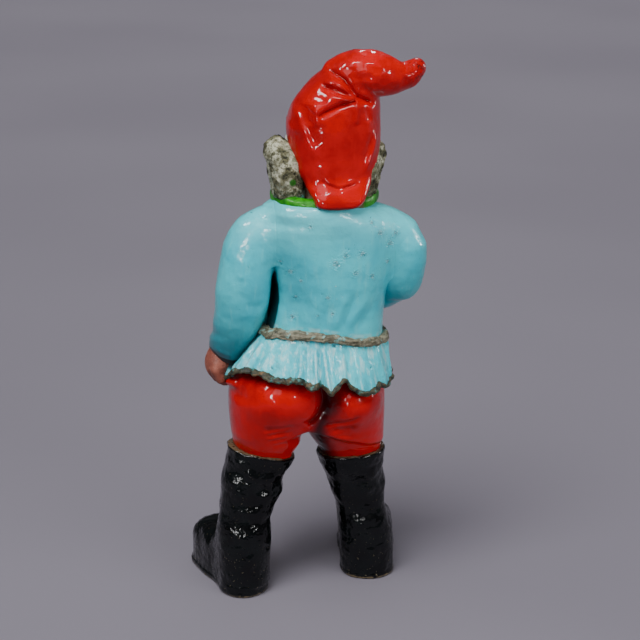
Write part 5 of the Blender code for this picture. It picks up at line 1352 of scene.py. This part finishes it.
class Paint:
    """Small helper for building one node material."""

    def __init__(self, name, **constants):
        self.mat = bpy.data.materials.new(name)
        self.mat.use_nodes = True
        self.tree = self.mat.node_tree
        self.out = self.tree.nodes["Principled BSDF"]
        for key, value in constants.items():
            self.out.inputs[key.replace("_", " ")].default_value = value
        self.coord = self.tree.nodes.new("ShaderNodeTexCoord").outputs["Object"]

    def link(self, a, socket):
        self.tree.links.new(a, socket)

    def set(self, socket, value):
        if isinstance(value, (int, float, tuple)):
            socket.default_value = value
        else:
            self.link(value, socket)

    def stretch(self, sx, sy, sz):
        n = self.tree.nodes.new("ShaderNodeMapping")
        self.link(self.coord, n.inputs["Vector"])
        n.inputs["Scale"].default_value = (sx, sy, sz)
        return n.outputs["Vector"]

    def noise(self, scale, detail=3.0, rough=0.55, warp=0.0, vector=None, shift=0.0):
        n = self.tree.nodes.new("ShaderNodeTexNoise")
        n.noise_dimensions = "4D"
        n.inputs["W"].default_value = shift
        self.link(vector or self.coord, n.inputs["Vector"])
        n.inputs["Scale"].default_value = scale
        n.inputs["Detail"].default_value = detail
        n.inputs["Roughness"].default_value = rough
        n.inputs["Distortion"].default_value = warp
        return n.outputs["Fac"]

    def cells(self, scale, feature="F1", vector=None):
        n = self.tree.nodes.new("ShaderNodeTexVoronoi")
        n.feature = feature
        self.link(vector or self.coord, n.inputs["Vector"])
        n.inputs["Scale"].default_value = scale
        return n

    def range(self, value, a, b, lo=0.0, hi=1.0):
        n = self.tree.nodes.new("ShaderNodeMapRange")
        n.clamp = True
        n.interpolation_type = "SMOOTHSTEP"
        self.link(value, n.inputs["Value"])
        for key, v in (("From Min", a), ("From Max", b), ("To Min", lo), ("To Max", hi)):
            n.inputs[key].default_value = v
        return n.outputs["Result"]

    def math(self, op, a, b=0.0):
        n = self.tree.nodes.new("ShaderNodeMath")
        n.operation = op
        self.set(n.inputs[0], a)
        self.set(n.inputs[1], b)
        return n.outputs[0]

    def mix(self, fac, a, b, mode="MIX"):
        n = self.tree.nodes.new("ShaderNodeMix")
        n.data_type = "RGBA"
        n.blend_type = mode
        self.set(n.inputs["Factor"], fac)
        self.set(n.inputs[6], a)
        self.set(n.inputs[7], b)
        return n.outputs[2]

    def mask(self, name):
        n = self.tree.nodes.new("ShaderNodeAttribute")
        n.attribute_name = name
        return n.outputs["Fac"]

    def height(self, z0, z1):
        n = self.tree.nodes.new("ShaderNodeSeparateXYZ")
        self.link(self.coord, n.inputs[0])
        return self.range(n.outputs["Z"], z0, z1)

    def bump(self, *layers):
        """Layers are (height, distance in metres, strength)."""
        last = None
        for value, distance, strength in layers:
            n = self.tree.nodes.new("ShaderNodeBump")
            self.link(value, n.inputs["Height"])
            n.inputs["Distance"].default_value = distance
            n.inputs["Strength"].default_value = strength
            if last is not None:
                self.link(last, n.inputs["Normal"])
            last = n.outputs["Normal"]
        self.link(last, self.out.inputs["Normal"])

    def gloss(self, *layers):
        """Relief of the glossy top layer, same arguments as bump."""
        last = None
        for value, distance, strength in layers:
            n = self.tree.nodes.new("ShaderNodeBump")
            self.link(value, n.inputs["Height"])
            n.inputs["Distance"].default_value = distance
            n.inputs["Strength"].default_value = strength
            if last is not None:
                self.link(last, n.inputs["Normal"])
            last = n.outputs["Normal"]
        self.link(last, self.out.inputs["Coat Normal"])

    def finish(self, colour, rough):
        self.set(self.out.inputs["Base Color"], colour)
        self.set(self.out.inputs["Roughness"], rough)
        return self.mat


def red_paint(name, skirted=False):
    p = Paint(name, Coat_Weight=0.75, Coat_Roughness=0.045, Specular_IOR_Level=0.06)
    tone = p.noise(22, 3, 0.6, 0.3)
    col = p.mix(p.range(tone, 0.36, 0.62), srgb(176, 0, 5), srgb(200, 0, 6))
    streak = p.noise(60, 3, 0.6, 0.2, p.stretch(1.0, 1.0, 0.28), 3.0)
    col = p.mix(p.range(streak, 0.56, 0.72, 0.0, 0.45), col, srgb(214, 8, 8))
    dark = p.noise(38, 2, 0.5, 0.0, None, 7.0)
    col = p.mix(p.range(dark, 0.60, 0.78, 0.0, 0.40), col, srgb(140, 3, 6))
    # the paint is darker in the creases
    edge = p.mask("edge")
    col = p.mix(p.range(edge, -0.30, -1.15, 0.0, 0.62), col, srgb(92, 3, 7))
    # specks of dirt and small chips to the pale cement on proud edges
    chip = p.math("MULTIPLY", p.range(p.noise(420, 2, 0.6, 0.0, None, 11.0), 0.66, 0.70), p.range(edge, 0.55, 1.0))
    col = p.mix(chip, col, srgb(205, 188, 170))
    speck = p.range(p.noise(600, 1, 0.5, 0.0, None, 13.0), 0.745, 0.77)
    col = p.mix(p.math("MULTIPLY", speck, 0.8), col, srgb(58, 10, 10))
    col = p.mix(p.math("MULTIPLY", p.mask("pit"), 0.7), col, srgb(88, 8, 8))
    if not skirted:
        worn = p.math("MULTIPLY", p.mask("one"), p.range(p.noise(300, 2, 0.6, 0.0, None, 17.0), 0.55, 0.62))
        col = p.mix(worn, col, srgb(70, 24, 22))
        # painted shade: a darker line along the lower edge of the cap's flap, where it meets the jacket
        col = p.mix(p.math("MULTIPLY", p.mask("two"), 0.75), col, srgb(84, 8, 10))
    if skirted:
        # painted light: the red of the legs is lighter towards the bottom
        col = p.mix(p.math("MULTIPLY", p.height(0.290, 0.225), 0.55), col, srgb(222, 6, 8))
        # painted shadow down the cleft of the seat and the inner side of the right leg
        col = p.mix(p.math("MULTIPLY", p.mask("one"), 0.95), col, srgb(34, 0, 4))
    rough = p.range(p.noise(70, 3, 0.6, 0.0, None, 19.0), 0.3, 0.7, 0.30, 0.45)
    p.gloss((p.noise(62, 2, 0.5, 0.3, None, 21.0), 0.0016, 0.55), (p.noise(150, 2, 0.5, 0.2, None, 22.0), 0.0005, 0.5))
    p.bump((p.noise(110, 3, 0.55, 0.2, None, 1.0), 0.0011, 0.55), (p.noise(300, 3, 0.6, 0.0, None, 2.0), 0.00035, 0.6),
           (streak, 0.0006, 0.3))
    return p.finish(col, rough)


def blue_paint(name, pleated=False, waist=False, sleeve=False, shade=None):
    p = Paint(name, Coat_Weight=0.85, Coat_Roughness=0.10 if pleated else 0.15, Specular_IOR_Level=0.25)
    tone = p.noise(16, 3, 0.6, 0.4)
    col = p.mix(p.range(tone, 0.34, 0.66), srgb(50, 198, 216), srgb(72, 219, 232))
    patch = p.noise(42, 3, 0.6, 0.3, None, 4.0)
    col = p.mix(p.range(patch, 0.55, 0.74, 0.0, 0.45), col, srgb(48, 174, 190))
    if not pleated:
        # painted light: the upper back and shoulders are lighter towards the top
        col = p.mix(p.math("MULTIPLY", p.height(0.500, 0.575), 0.40), col, srgb(134, 236, 242))
    brush = p.noise(90, 3, 0.6, 0.15, p.stretch(1.0, 1.0, 0.22), 5.0)
    col = p.mix(p.range(brush, 0.54, 0.70, 0.0, 0.35), col, srgb(120, 230, 236))
    edge = p.mask("edge")
    # painted highlight: proud ridges are lighter, the pleat crests most of all
    col = p.mix(p.range(edge, 0.25, 1.1, 0.0, 0.35 if not pleated else 0.70), col, srgb(160, 224, 226) if not pleated else srgb(214, 248, 248))
    col = p.mix(p.range(edge, -0.25, -1.1, 0.0, 0.60), col, srgb(42, 118, 132))
    if pleated:
        streak = p.noise(120, 3, 0.65, 0.1, p.stretch(1.0, 1.0, 0.12), 6.0)
        col = p.mix(p.range(streak, 0.48, 0.66, 0.0, 0.60), col, srgb(200, 242, 242))
        col = p.mix(p.range(streak, 0.46, 0.34, 0.0, 0.35), col, srgb(70, 152, 166))
        smear = p.range(p.noise(95, 3, 0.6, 0.4, None, 8.0), 0.50, 0.62)
        col = p.mix(p.math("MULTIPLY", p.mask("one"), p.math("MULTIPLY", smear, 0.75)), col, srgb(62, 104, 92))
        col = p.mix(p.math("MULTIPLY", p.mask("two"), p.range(p.noise(130, 3, 0.6, 0.4, None, 9.0), 0.50, 0.60, 0.0, 0.7)), col, srgb(72, 120, 112))
    if waist:
        col = p.mix(p.math("MULTIPLY", p.mask("one"), p.range(p.noise(70, 2, 0.6, 0.3, None, 9.0), 0.40, 0.62, 0.0, 0.7)), col, srgb(170, 226, 228))
    # whitish scuffs, dirt specks, blowholes
    scuff = p.range(p.noise(230, 3, 0.65, 0.3, None, 12.0), 0.665, 0.70, 0.0, 0.55)
    col = p.mix(p.math("MULTIPLY", scuff, p.range(p.noise(12, 2, 0.5, 0.0, None, 13.0), 0.48, 0.60)), col, srgb(206, 232, 232))
    speck = p.range(p.noise(520, 1, 0.5, 0.0, None, 14.0), 0.735, 0.76)
    col = p.mix(p.math("MULTIPLY", speck, 0.7), col, srgb(44, 84, 92))
    col = p.mix(p.range(p.mask("pit"), 0.45, 0.95, 0.0, 0.5), col, srgb(34, 96, 108))
    if shade:
        # painted shade: the sleeve is darker towards its lower end
        col = p.mix(p.math("MULTIPLY", p.height(shade[0], shade[1]), shade[2]), col, srgb(26, 100, 114))
    if sleeve:
        col = p.mix(p.math("MULTIPLY", p.mask("one"), 0.97), col, srgb(10, 14, 16))
    # painted shade in the slot beside the hanging arm and on the skirt next to the sleeve
    col = p.mix(p.math("MULTIPLY", p.mask("three"), 0.92), col, srgb(10, 34, 40))
    rough = p.range(p.noise(60, 3, 0.6, 0.0, None, 15.0), 0.3, 0.7, 0.34, 0.50)
    crust = p.math("MULTIPLY", p.mask("two"), p.range(p.noise(430, 2, 0.6, 0.3, None, 31.0), 0.42, 0.62)) if not pleated else p.noise(430, 2, 0.6, 0.3, None, 31.0)
    if not pleated:
        col = p.mix(p.math("MULTIPLY", p.range(p.math("MULTIPLY", p.mask("two"), p.noise(390, 2, 0.6, 0.3, None, 32.0)), 0.32, 0.48), 0.5), col, srgb(190, 238, 240))
        col = p.mix(p.math("MULTIPLY", p.range(p.math("MULTIPLY", p.mask("two"), p.noise(410, 2, 0.6, 0.3, None, 33.0)), 0.36, 0.48), 0.6), col, srgb(44, 128, 142))
    p.gloss((p.noise(70, 2, 0.5, 0.3, None, 21.0), 0.0020, 0.5), (p.noise(190, 2, 0.5, 0.2, None, 22.0), 0.0009, 0.5), (crust, 0.0016 if not pleated else 0.0004, 0.7))
    p.bump((crust, 0.0018 if not pleated else 0.0004, 0.7), (p.noise(120, 3, 0.55, 0.2, None, 1.0), 0.0011, 0.5), (p.noise(330, 3, 0.6, 0.0, None, 2.0), 0.0004, 0.55),
           (brush, 0.0006, 0.35))
    return p.finish(col, rough)


def green_paint():
    p = Paint("green_paint", Coat_Weight=0.14, Coat_Roughness=0.22, Specular_IOR_Level=0.22)
    col = p.mix(p.range(p.noise(70, 3, 0.6, 0.3), 0.4, 0.62), srgb(20, 104, 6), srgb(46, 152, 18))
    edge = p.mask("edge")
    col = p.mix(p.range(edge, -0.2, -1.0, 0.0, 0.7), col, srgb(24, 58, 18))
    chip = p.math("MULTIPLY", p.range(p.noise(260, 3, 0.6, 0.0, None, 4.0), 0.60, 0.66), p.range(edge, 0.3, 0.9))
    col = p.mix(chip, col, srgb(214, 208, 190))
    worn = p.math("MULTIPLY", p.mask("one"), p.range(p.noise(160, 3, 0.6, 0.2, None, 5.0), 0.36, 0.48))
    col = p.mix(worn, col, srgb(108, 88, 62))
    dirt = p.range(p.noise(340, 2, 0.6, 0.0, None, 6.0), 0.66, 0.70)
    col = p.mix(p.math("MULTIPLY", dirt, 0.6), col, srgb(60, 62, 34))
    p.bump((p.noise(170, 3, 0.6, 0.2, None, 1.0), 0.0009, 0.6), (p.noise(520, 2, 0.6, 0.0, None, 2.0), 0.0003, 0.6))
    return p.finish(col, p.range(p.noise(90, 3), 0.3, 0.7, 0.34, 0.52))


def black_paint():
    p = Paint("black_paint", Coat_Weight=0.62, Coat_Roughness=0.045, Specular_IOR_Level=0.05)
    col = p.mix(p.range(p.noise(30, 3, 0.6, 0.3), 0.40, 0.64), srgb(5, 6, 7), srgb(10, 14, 15))
    green = p.range(p.noise(48, 3, 0.6, 0.3, None, 3.0), 0.56, 0.72, 0.0, 0.5)
    col = p.mix(green, col, srgb(14, 22, 20))
    edge = p.mask("edge")
    dust = p.math("MULTIPLY", p.range(p.noise(85, 4, 0.7, 0.0, None, 4.0), 0.50, 0.66), p.range(edge, -0.2, -1.0, 0.0, 0.30))
    col = p.mix(dust, col, srgb(48, 50, 44))
    speck = p.range(p.noise(430, 1, 0.5, 0.0, None, 5.0), 0.715, 0.74)
    low = p.height(0.09, 0.0)
    col = p.mix(p.math("MULTIPLY", speck, p.math("ADD", p.math("MULTIPLY", low, 0.7), 0.25)), col, srgb(150, 138, 110))
    chip = p.math("MULTIPLY", p.range(p.noise(360, 2, 0.6, 0.0, None, 7.0), 0.64, 0.69), p.range(edge, 0.6, 1.1))
    col = p.mix(p.math("MULTIPLY", chip, 0.7), col, srgb(122, 112, 92))
    rim = p.math("MULTIPLY", p.mask("one"), p.range(p.noise(140, 3, 0.6, 0.2, None, 8.0), 0.30, 0.48))
    col = p.mix(p.math("MULTIPLY", rim, 0.85), col, srgb(104, 88, 66))
    sole = p.math("MULTIPLY", p.mask("two"), p.range(p.noise(150, 3, 0.65, 0.2, None, 9.0), 0.42, 0.54))
    col = p.mix(p.math("MULTIPLY", sole, 0.85), col, srgb(138, 122, 92))
    rough = p.range(p.noise(75, 3, 0.6, 0.0, None, 10.0), 0.3, 0.7, 0.16, 0.36)
    p.gloss((p.noise(75, 2, 0.5, 0.3, None, 1.0), 0.0040, 0.6), (p.noise(200, 2, 0.5, 0.0, None, 2.0), 0.0010, 0.6))
    p.bump((p.noise(75, 2, 0.5, 0.3, None, 1.0), 0.0018, 0.6), (p.noise(240, 2, 0.5, 0.0, None, 2.0), 0.0003, 0.5))
    return p.finish(col, rough)


def weathered(name, clean):
    """Bare and painted cement: grown-over and grimy on the hair, cleaner on the beard."""
    p = Paint(name, Specular_IOR_Level=0.25)
    blotch = p.noise(85, 4, 0.7, 0.3)
    fine = p.noise(260, 4, 0.7, 0.2, None, 3.0)
    if clean:
        col = p.mix(p.range(blotch, 0.35, 0.65), srgb(186, 182, 166), srgb(216, 212, 198))
        col = p.mix(p.range(p.mask("edge"), 0.05, -0.9, 0.0, 0.85), col, srgb(92, 88, 70))
        col = p.mix(p.range(fine, 0.58, 0.68, 0.0, 0.6), col, srgb(122, 118, 96))
        col = p.mix(p.range(p.noise(500, 2, 0.6, 0.0, None, 5.0), 0.66, 0.70, 0.0, 0.7), col, srgb(60, 56, 46))
    else:
        wide = p.noise(38, 3, 0.65, 0.5, None, 6.0)
        col = p.mix(p.range(blotch, 0.42, 0.58), srgb(68, 68, 46), srgb(122, 122, 96))
        col = p.mix(p.range(fine, 0.47, 0.56, 0.0, 0.8), col, srgb(112, 108, 80))
        pale = p.math("MULTIPLY", p.range(p.noise(230, 3, 0.7, 0.3, None, 4.0), 0.40, 0.54), p.range(wide, 0.47, 0.58))
        col = p.mix(pale, col, srgb(192, 192, 168))
        black = p.math("MULTIPLY", p.range(p.noise(210, 3, 0.7, 0.3, None, 5.0), 0.42, 0.56), p.range(wide, 0.50, 0.40))
        col = p.mix(black, col, srgb(24, 25, 20))
        col = p.mix(p.range(p.mask("edge"), -0.3, -1.2, 0.0, 0.7), col, srgb(30, 31, 26))
        col = p.mix(p.range(p.mask("pit"), 0.4, 0.95, 0.0, 0.7), col, srgb(26, 27, 22))
        col = p.mix(p.math("MULTIPLY", p.mask("one"), 0.95), col, srgb(34, 104, 22))
    p.bump((p.noise(240, 4, 0.7, 0.0, None, 1.0), 0.0012, 0.9), (p.noise(700, 3, 0.6, 0.0, None, 2.0), 0.0005, 0.8))
    return p.finish(col, p.range(fine, 0.3, 0.7, 0.82, 0.96))


def flesh_paint(name, face):
    p = Paint(name, Coat_Weight=0.12, Coat_Roughness=0.35, Specular_IOR_Level=0.35)
    base = (srgb(190, 128, 102), srgb(206, 146, 118)) if face else (srgb(138, 76, 62), srgb(162, 94, 76))
    col = p.mix(p.range(p.noise(60, 3, 0.6, 0.3), 0.38, 0.62), *base)
    edge = p.mask("edge")
    col = p.mix(p.range(edge, -0.15, -1.0, 0.0, 0.75 if not face else 0.55), col, srgb(74, 38, 28))
    if face:
        col = p.mix(p.range(p.mask("three"), 0.0, 1.0, 0.0, 0.75), col, srgb(188, 84, 72))
        col = p.mix(p.range(p.mask("three"), -0.1, -0.8), col, srgb(198, 194, 178))
        col = p.mix(p.mask("one"), col, srgb(226, 222, 208))
        col = p.mix(p.range(p.mask("two"), 0.1, 0.5), col, srgb(66, 88, 96))
        col = p.mix(p.range(p.mask("two"), 0.6, 0.9), col, srgb(16, 14, 14))
    else:
        col = p.mix(p.range(p.noise(220, 3, 0.65, 0.2, None, 3.0), 0.54, 0.64, 0.0, 0.6), col, srgb(104, 56, 44))
        col = p.mix(p.range(p.noise(380, 2, 0.6, 0.0, None, 4.0), 0.66, 0.70, 0.0, 0.75), col, srgb(190, 160, 140))
        col = p.mix(p.range(p.mask("pit"), 0.4, 0.9, 0.0, 0.8), col, srgb(52, 28, 22))
    grime = p.range(p.noise(420, 2, 0.6, 0.0, None, 5.0), 0.69, 0.72, 0.0, 0.5)
    col = p.mix(grime, col, srgb(82, 54, 42))
    p.bump((p.noise(190, 3, 0.6, 0.2, None, 1.0), 0.0007, 0.5 if face else 0.9), (p.noise(600, 3, 0.6, 0.0, None, 2.0), 0.0003, 0.5))
    return p.finish(col, p.range(p.noise(90, 3, 0.6, 0.0, None, 6.0), 0.3, 0.7, 0.50, 0.68))


def trim_paint(name, hem):
    p = Paint(name, Coat_Weight=0.15, Coat_Roughness=0.3, Specular_IOR_Level=0.35)
    slant = p.noise(150, 4, 0.65, 0.3, p.stretch(0.5, 0.5, 1.6))
    if hem:
        col = p.mix(p.range(slant, 0.40, 0.58), srgb(24, 32, 26), srgb(70, 66, 46))
        col = p.mix(p.range(p.noise(55, 3, 0.6, 0.3, None, 3.0), 0.58, 0.66, 0.0, 0.8), col, srgb(116, 88, 56))
        col = p.mix(p.range(p.noise(110, 3, 0.6, 0.4, None, 4.0), 0.57, 0.66, 0.0, 0.8), col, srgb(64, 128, 122))
    else:
        col = p.mix(p.range(slant, 0.40, 0.60), srgb(84, 80, 62), srgb(136, 132, 110))
        col = p.mix(p.range(p.noise(90, 3, 0.6, 0.4, None, 3.0), 0.56, 0.64, 0.0, 0.85), col, srgb(122, 184, 178))
        col = p.mix(p.range(p.noise(120, 3, 0.6, 0.3, None, 4.0), 0.58, 0.66, 0.0, 0.85), col, srgb(54, 50, 38))
    edge = p.mask("edge")
    col = p.mix(p.range(edge, 0.0, -0.9, 0.0, 0.85), col, srgb(24, 26, 22))
    col = p.mix(p.range(edge, 0.35, 1.1, 0.0, 0.45), col, srgb(168, 150, 120) if not hem else srgb(96, 96, 72))
    col = p.mix(p.range(p.mask("pit"), 0.4, 0.9, 0.0, 0.8), col, srgb(22, 22, 18))
    p.bump((p.noise(260, 4, 0.65, 0.2, None, 1.0), 0.0010, 0.8), (p.noise(700, 2, 0.6, 0.0, None, 2.0), 0.0004, 0.6))
    return p.finish(col, p.range(slant, 0.3, 0.7, 0.45, 0.72))


def brass_paint():
    p = Paint("brass_paint", Metallic=0.35, Coat_Weight=0.3, Coat_Roughness=0.2)
    col = p.mix(p.range(p.noise(140, 3, 0.6, 0.2), 0.40, 0.60), srgb(150, 112, 44), srgb(190, 150, 70))
    col = p.mix(p.range(p.mask("edge"), 0.0, -0.9, 0.0, 0.9), col, srgb(46, 34, 18))
    col = p.mix(p.range(p.noise(420, 2, 0.6, 0.0, None, 3.0), 0.62, 0.68, 0.0, 0.7), col, srgb(70, 58, 36))
    p.bump((p.noise(400, 3, 0.6, 0.0, None, 1.0), 0.0004, 0.5),)
    return p.finish(col, p.range(p.noise(200, 3), 0.3, 0.7, 0.32, 0.50))


def rusty_steel():
    p = Paint("rusty_steel", Metallic=0.25)
    col = p.mix(p.range(p.noise(90, 4, 0.65, 0.3), 0.40, 0.60), srgb(74, 44, 30), srgb(120, 70, 40))
    col = p.mix(p.range(p.noise(260, 3, 0.6, 0.0, None, 3.0), 0.56, 0.64), col, srgb(58, 56, 56))
    p.bump((p.noise(300, 3, 0.6, 0.0, None, 1.0), 0.0005, 0.7),)
    return p.finish(col, p.range(p.noise(120, 3), 0.3, 0.7, 0.60, 0.85))


PAINT = {
    "cap_visual": red_paint("cap_red"),
    "trousers_visual": red_paint("trouser_red", True),
    "jacket_body_visual": blue_paint("jacket_turquoise", waist=True),
    "left_sleeve_visual": blue_paint("sleeve_turquoise", sleeve=True, shade=(0.440, 0.355, 0.97)),
    "right_sleeve_visual": blue_paint("sleeve_turquoise_right", shade=(0.530, 0.430, 0.42)),
    "jacket_skirt_visual": blue_paint("skirt_turquoise", pleated=True),
    "collar_visual": green_paint(),
    "left_boot_visual": black_paint(),
    "hair_left_visual": weathered("grown_over_cement", False),
    "beard_visual": weathered("beard_white", True),
    "head_visual": flesh_paint("face_flesh", True),
    "left_hand_visual": flesh_paint("hand_flesh", False),
    "belt_visual": trim_paint("belt_cord_paint", False),
    "hem_edging_visual": trim_paint("hem_edging_paint", True),
    "belt_buckle_visual": brass_paint(),
}
PAINT["right_boot_visual"] = PAINT["left_boot_visual"]
PAINT["hair_right_visual"] = PAINT["hair_left_visual"]
PAINT["moustache_visual"] = PAINT["beard_visual"]
PAINT["right_hand_visual"] = PAINT["left_hand_visual"]
for key in ("button_upper_visual", "button_middle_visual", "button_lower_visual"):
    PAINT[key] = PAINT["belt_buckle_visual"]

# ================================================================ objects
for name, verts, quads, masks in built:
    field, low, high, nodes, slot = JOBS[name]
    mesh = bpy.data.meshes.new(name)
    mesh.vertices.add(len(verts))
    mesh.vertices.foreach_set("co", (verts + SHIFT).astype(np.float32).ravel())
    mesh.loops.add(len(quads) * 4)
    mesh.loops.foreach_set("vertex_index", quads.astype(np.int32).ravel())
    mesh.polygons.add(len(quads))
    mesh.polygons.foreach_set("loop_start", np.arange(0, len(quads) * 4, 4, dtype=np.int32))
    mesh.polygons.foreach_set("use_smooth", np.ones(len(quads), bool))
    mesh.update()
    for key, values in masks.items():
        layer = mesh.attributes.new(key, "FLOAT", "POINT")
        layer.data.foreach_set("value", values.astype(np.float32))
    obj = bpy.data.objects.new(name, mesh)
    bpy.context.scene.collection.objects.link(obj)
    mesh.materials.append(PAINT[name])
    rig.ride(obj, "root")
    if nodes:
        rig.replaces(obj, *nodes)
    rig.slot(obj, slot)

# the armature stays as the CAD made it, in rusty steel
steel = rusty_steel()
for name in ("spine_rod", "shoulder_rod", "hip_bar", "left_leg_rod", "right_leg_rod", "left_arm_wire", "right_arm_wire"):
    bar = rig.node(name) if hasattr(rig, "node") else bpy.data.objects.get(name)
    if bar is not None:
        bar.data.materials.clear()
        bar.data.materials.append(steel)

# ================================================================ floor, light, camera
floor_mesh = bpy.data.meshes.new("floor")
floor_mesh.from_pydata([(-16, -16, 0), (16, -16, 0), (16, 16, 0), (-16, 16, 0)], [], [(0, 1, 2, 3)])
floor = bpy.data.objects.new("floor", floor_mesh)
bpy.context.scene.collection.objects.link(floor)
paper = Paint("studio_paper", Specular_IOR_Level=0.0)
paper_tone = paper.mix(paper.range(paper.noise(0.6, 2, 0.5), 0.35, 0.65), srgb(122, 118, 128), srgb(127, 123, 133))
floor_mesh.materials.append(paper.finish(paper_tone, paper.range(paper.noise(6, 3), 0.3, 0.7, 0.70, 0.76)))
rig.stage(floor)

world = bpy.data.worlds.new("studio")
world.use_nodes = True
world.node_tree.nodes["Background"].inputs["Color"].default_value = (0.62, 0.60, 0.66, 1.0)
world.node_tree.nodes["Background"].inputs["Strength"].default_value = 0.09
bpy.context.scene.world = world


def area(name, turn, up, far, size, power, target=(0.0, 0.03, 0.42), colour=(1, 1, 1)):
    """A soft light: turn is its direction from the gnome's back towards its left, in degrees."""
    t, e = math.radians(turn), math.radians(up)
    way = Vector((math.sin(t) * math.cos(e), math.cos(t) * math.cos(e), math.sin(e)))
    data = bpy.data.lights.new(name, "AREA")
    data.shape = "RECTANGLE"
    data.size, data.size_y = size
    data.energy = power
    data.color = colour
    lamp = bpy.data.objects.new(name, data)
    bpy.context.scene.collection.objects.link(lamp)
    lamp.location = Vector(target) + way * far
    lamp.rotation_euler = (-way).to_track_quat("-Z", "Y").to_euler()
    return lamp


def soft_sun(name, turn, up, energy, wide, glossy=False):
    """Even light over the whole floor, so that the paper does not fall off behind."""
    data = bpy.data.lights.new(name, "SUN")
    data.energy = energy
    data.angle = math.radians(wide)
    lamp = bpy.data.objects.new(name, data)
    bpy.context.scene.collection.objects.link(lamp)
    t, e = math.radians(turn), math.radians(up)
    way = Vector((math.sin(t) * math.cos(e), math.cos(t) * math.cos(e), math.sin(e)))
    lamp.rotation_euler = (-way).to_track_quat("-Z", "Y").to_euler()
    lamp.visible_glossy = glossy
    return lamp


soft_sun("key", 36, 58, 3.10, 36)
soft_sun("room_fill", -40, 13, 1.48, 50)
soft_sun("front_fill", 196, 22, 0.50, 60)
area("ceiling", 10, 80, 2.2, (1.6, 1.6), 18).visible_glossy = False
# bright boxes seen only in the gloss paint give it its highlights
for lamp in (area("left_box", 43, 24, 2.3, (0.26, 0.50), 16), area("right_box", -34, 24, 2.6, (0.22, 0.46), 13),
             area("left_high_box", 84, 50, 2.4, (0.34, 0.50), 22), area("right_low_box", -98, 14, 2.4, (0.22, 0.60), 13),
             area("over_box", 6, 66, 2.4, (0.60, 0.26), 16), area("front_box", 200, 48, 3.0, (0.36, 0.36), 14),
             area("knee_box", 30, 9, 2.3, (0.12, 0.36), 6), area("sheen_box", 26, 52, 2.4, (1.0, 1.5), 8.0)):
    lamp.visible_diffuse = False

azimuth = math.radians(171.0)
toward = Vector((math.sin(azimuth), -math.cos(azimuth), 0.0))
cam_data = bpy.data.cameras.new("camera")
cam_data.sensor_width = 36.0
cam_data.lens = 1921.0 * 36.0 / 640.0
cam = bpy.data.objects.new("camera", cam_data)
bpy.context.scene.collection.objects.link(cam)
cam.location = Vector((0.4067 + SHIFT[0], 2.568 + 0.049 + SHIFT[1], 1.21))
pitch = math.radians(16.95)
look = -toward * math.cos(pitch) - Vector((0, 0, math.sin(pitch)))
cam.rotation_euler = look.to_track_quat("-Z", "Y").to_euler()
bpy.context.scene.camera = cam

with open("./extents.json", "w") as out:
    json.dump([[list(map(float, p)) for p in CAD_BOX], [list(map(float, p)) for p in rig.bounds()]], out)
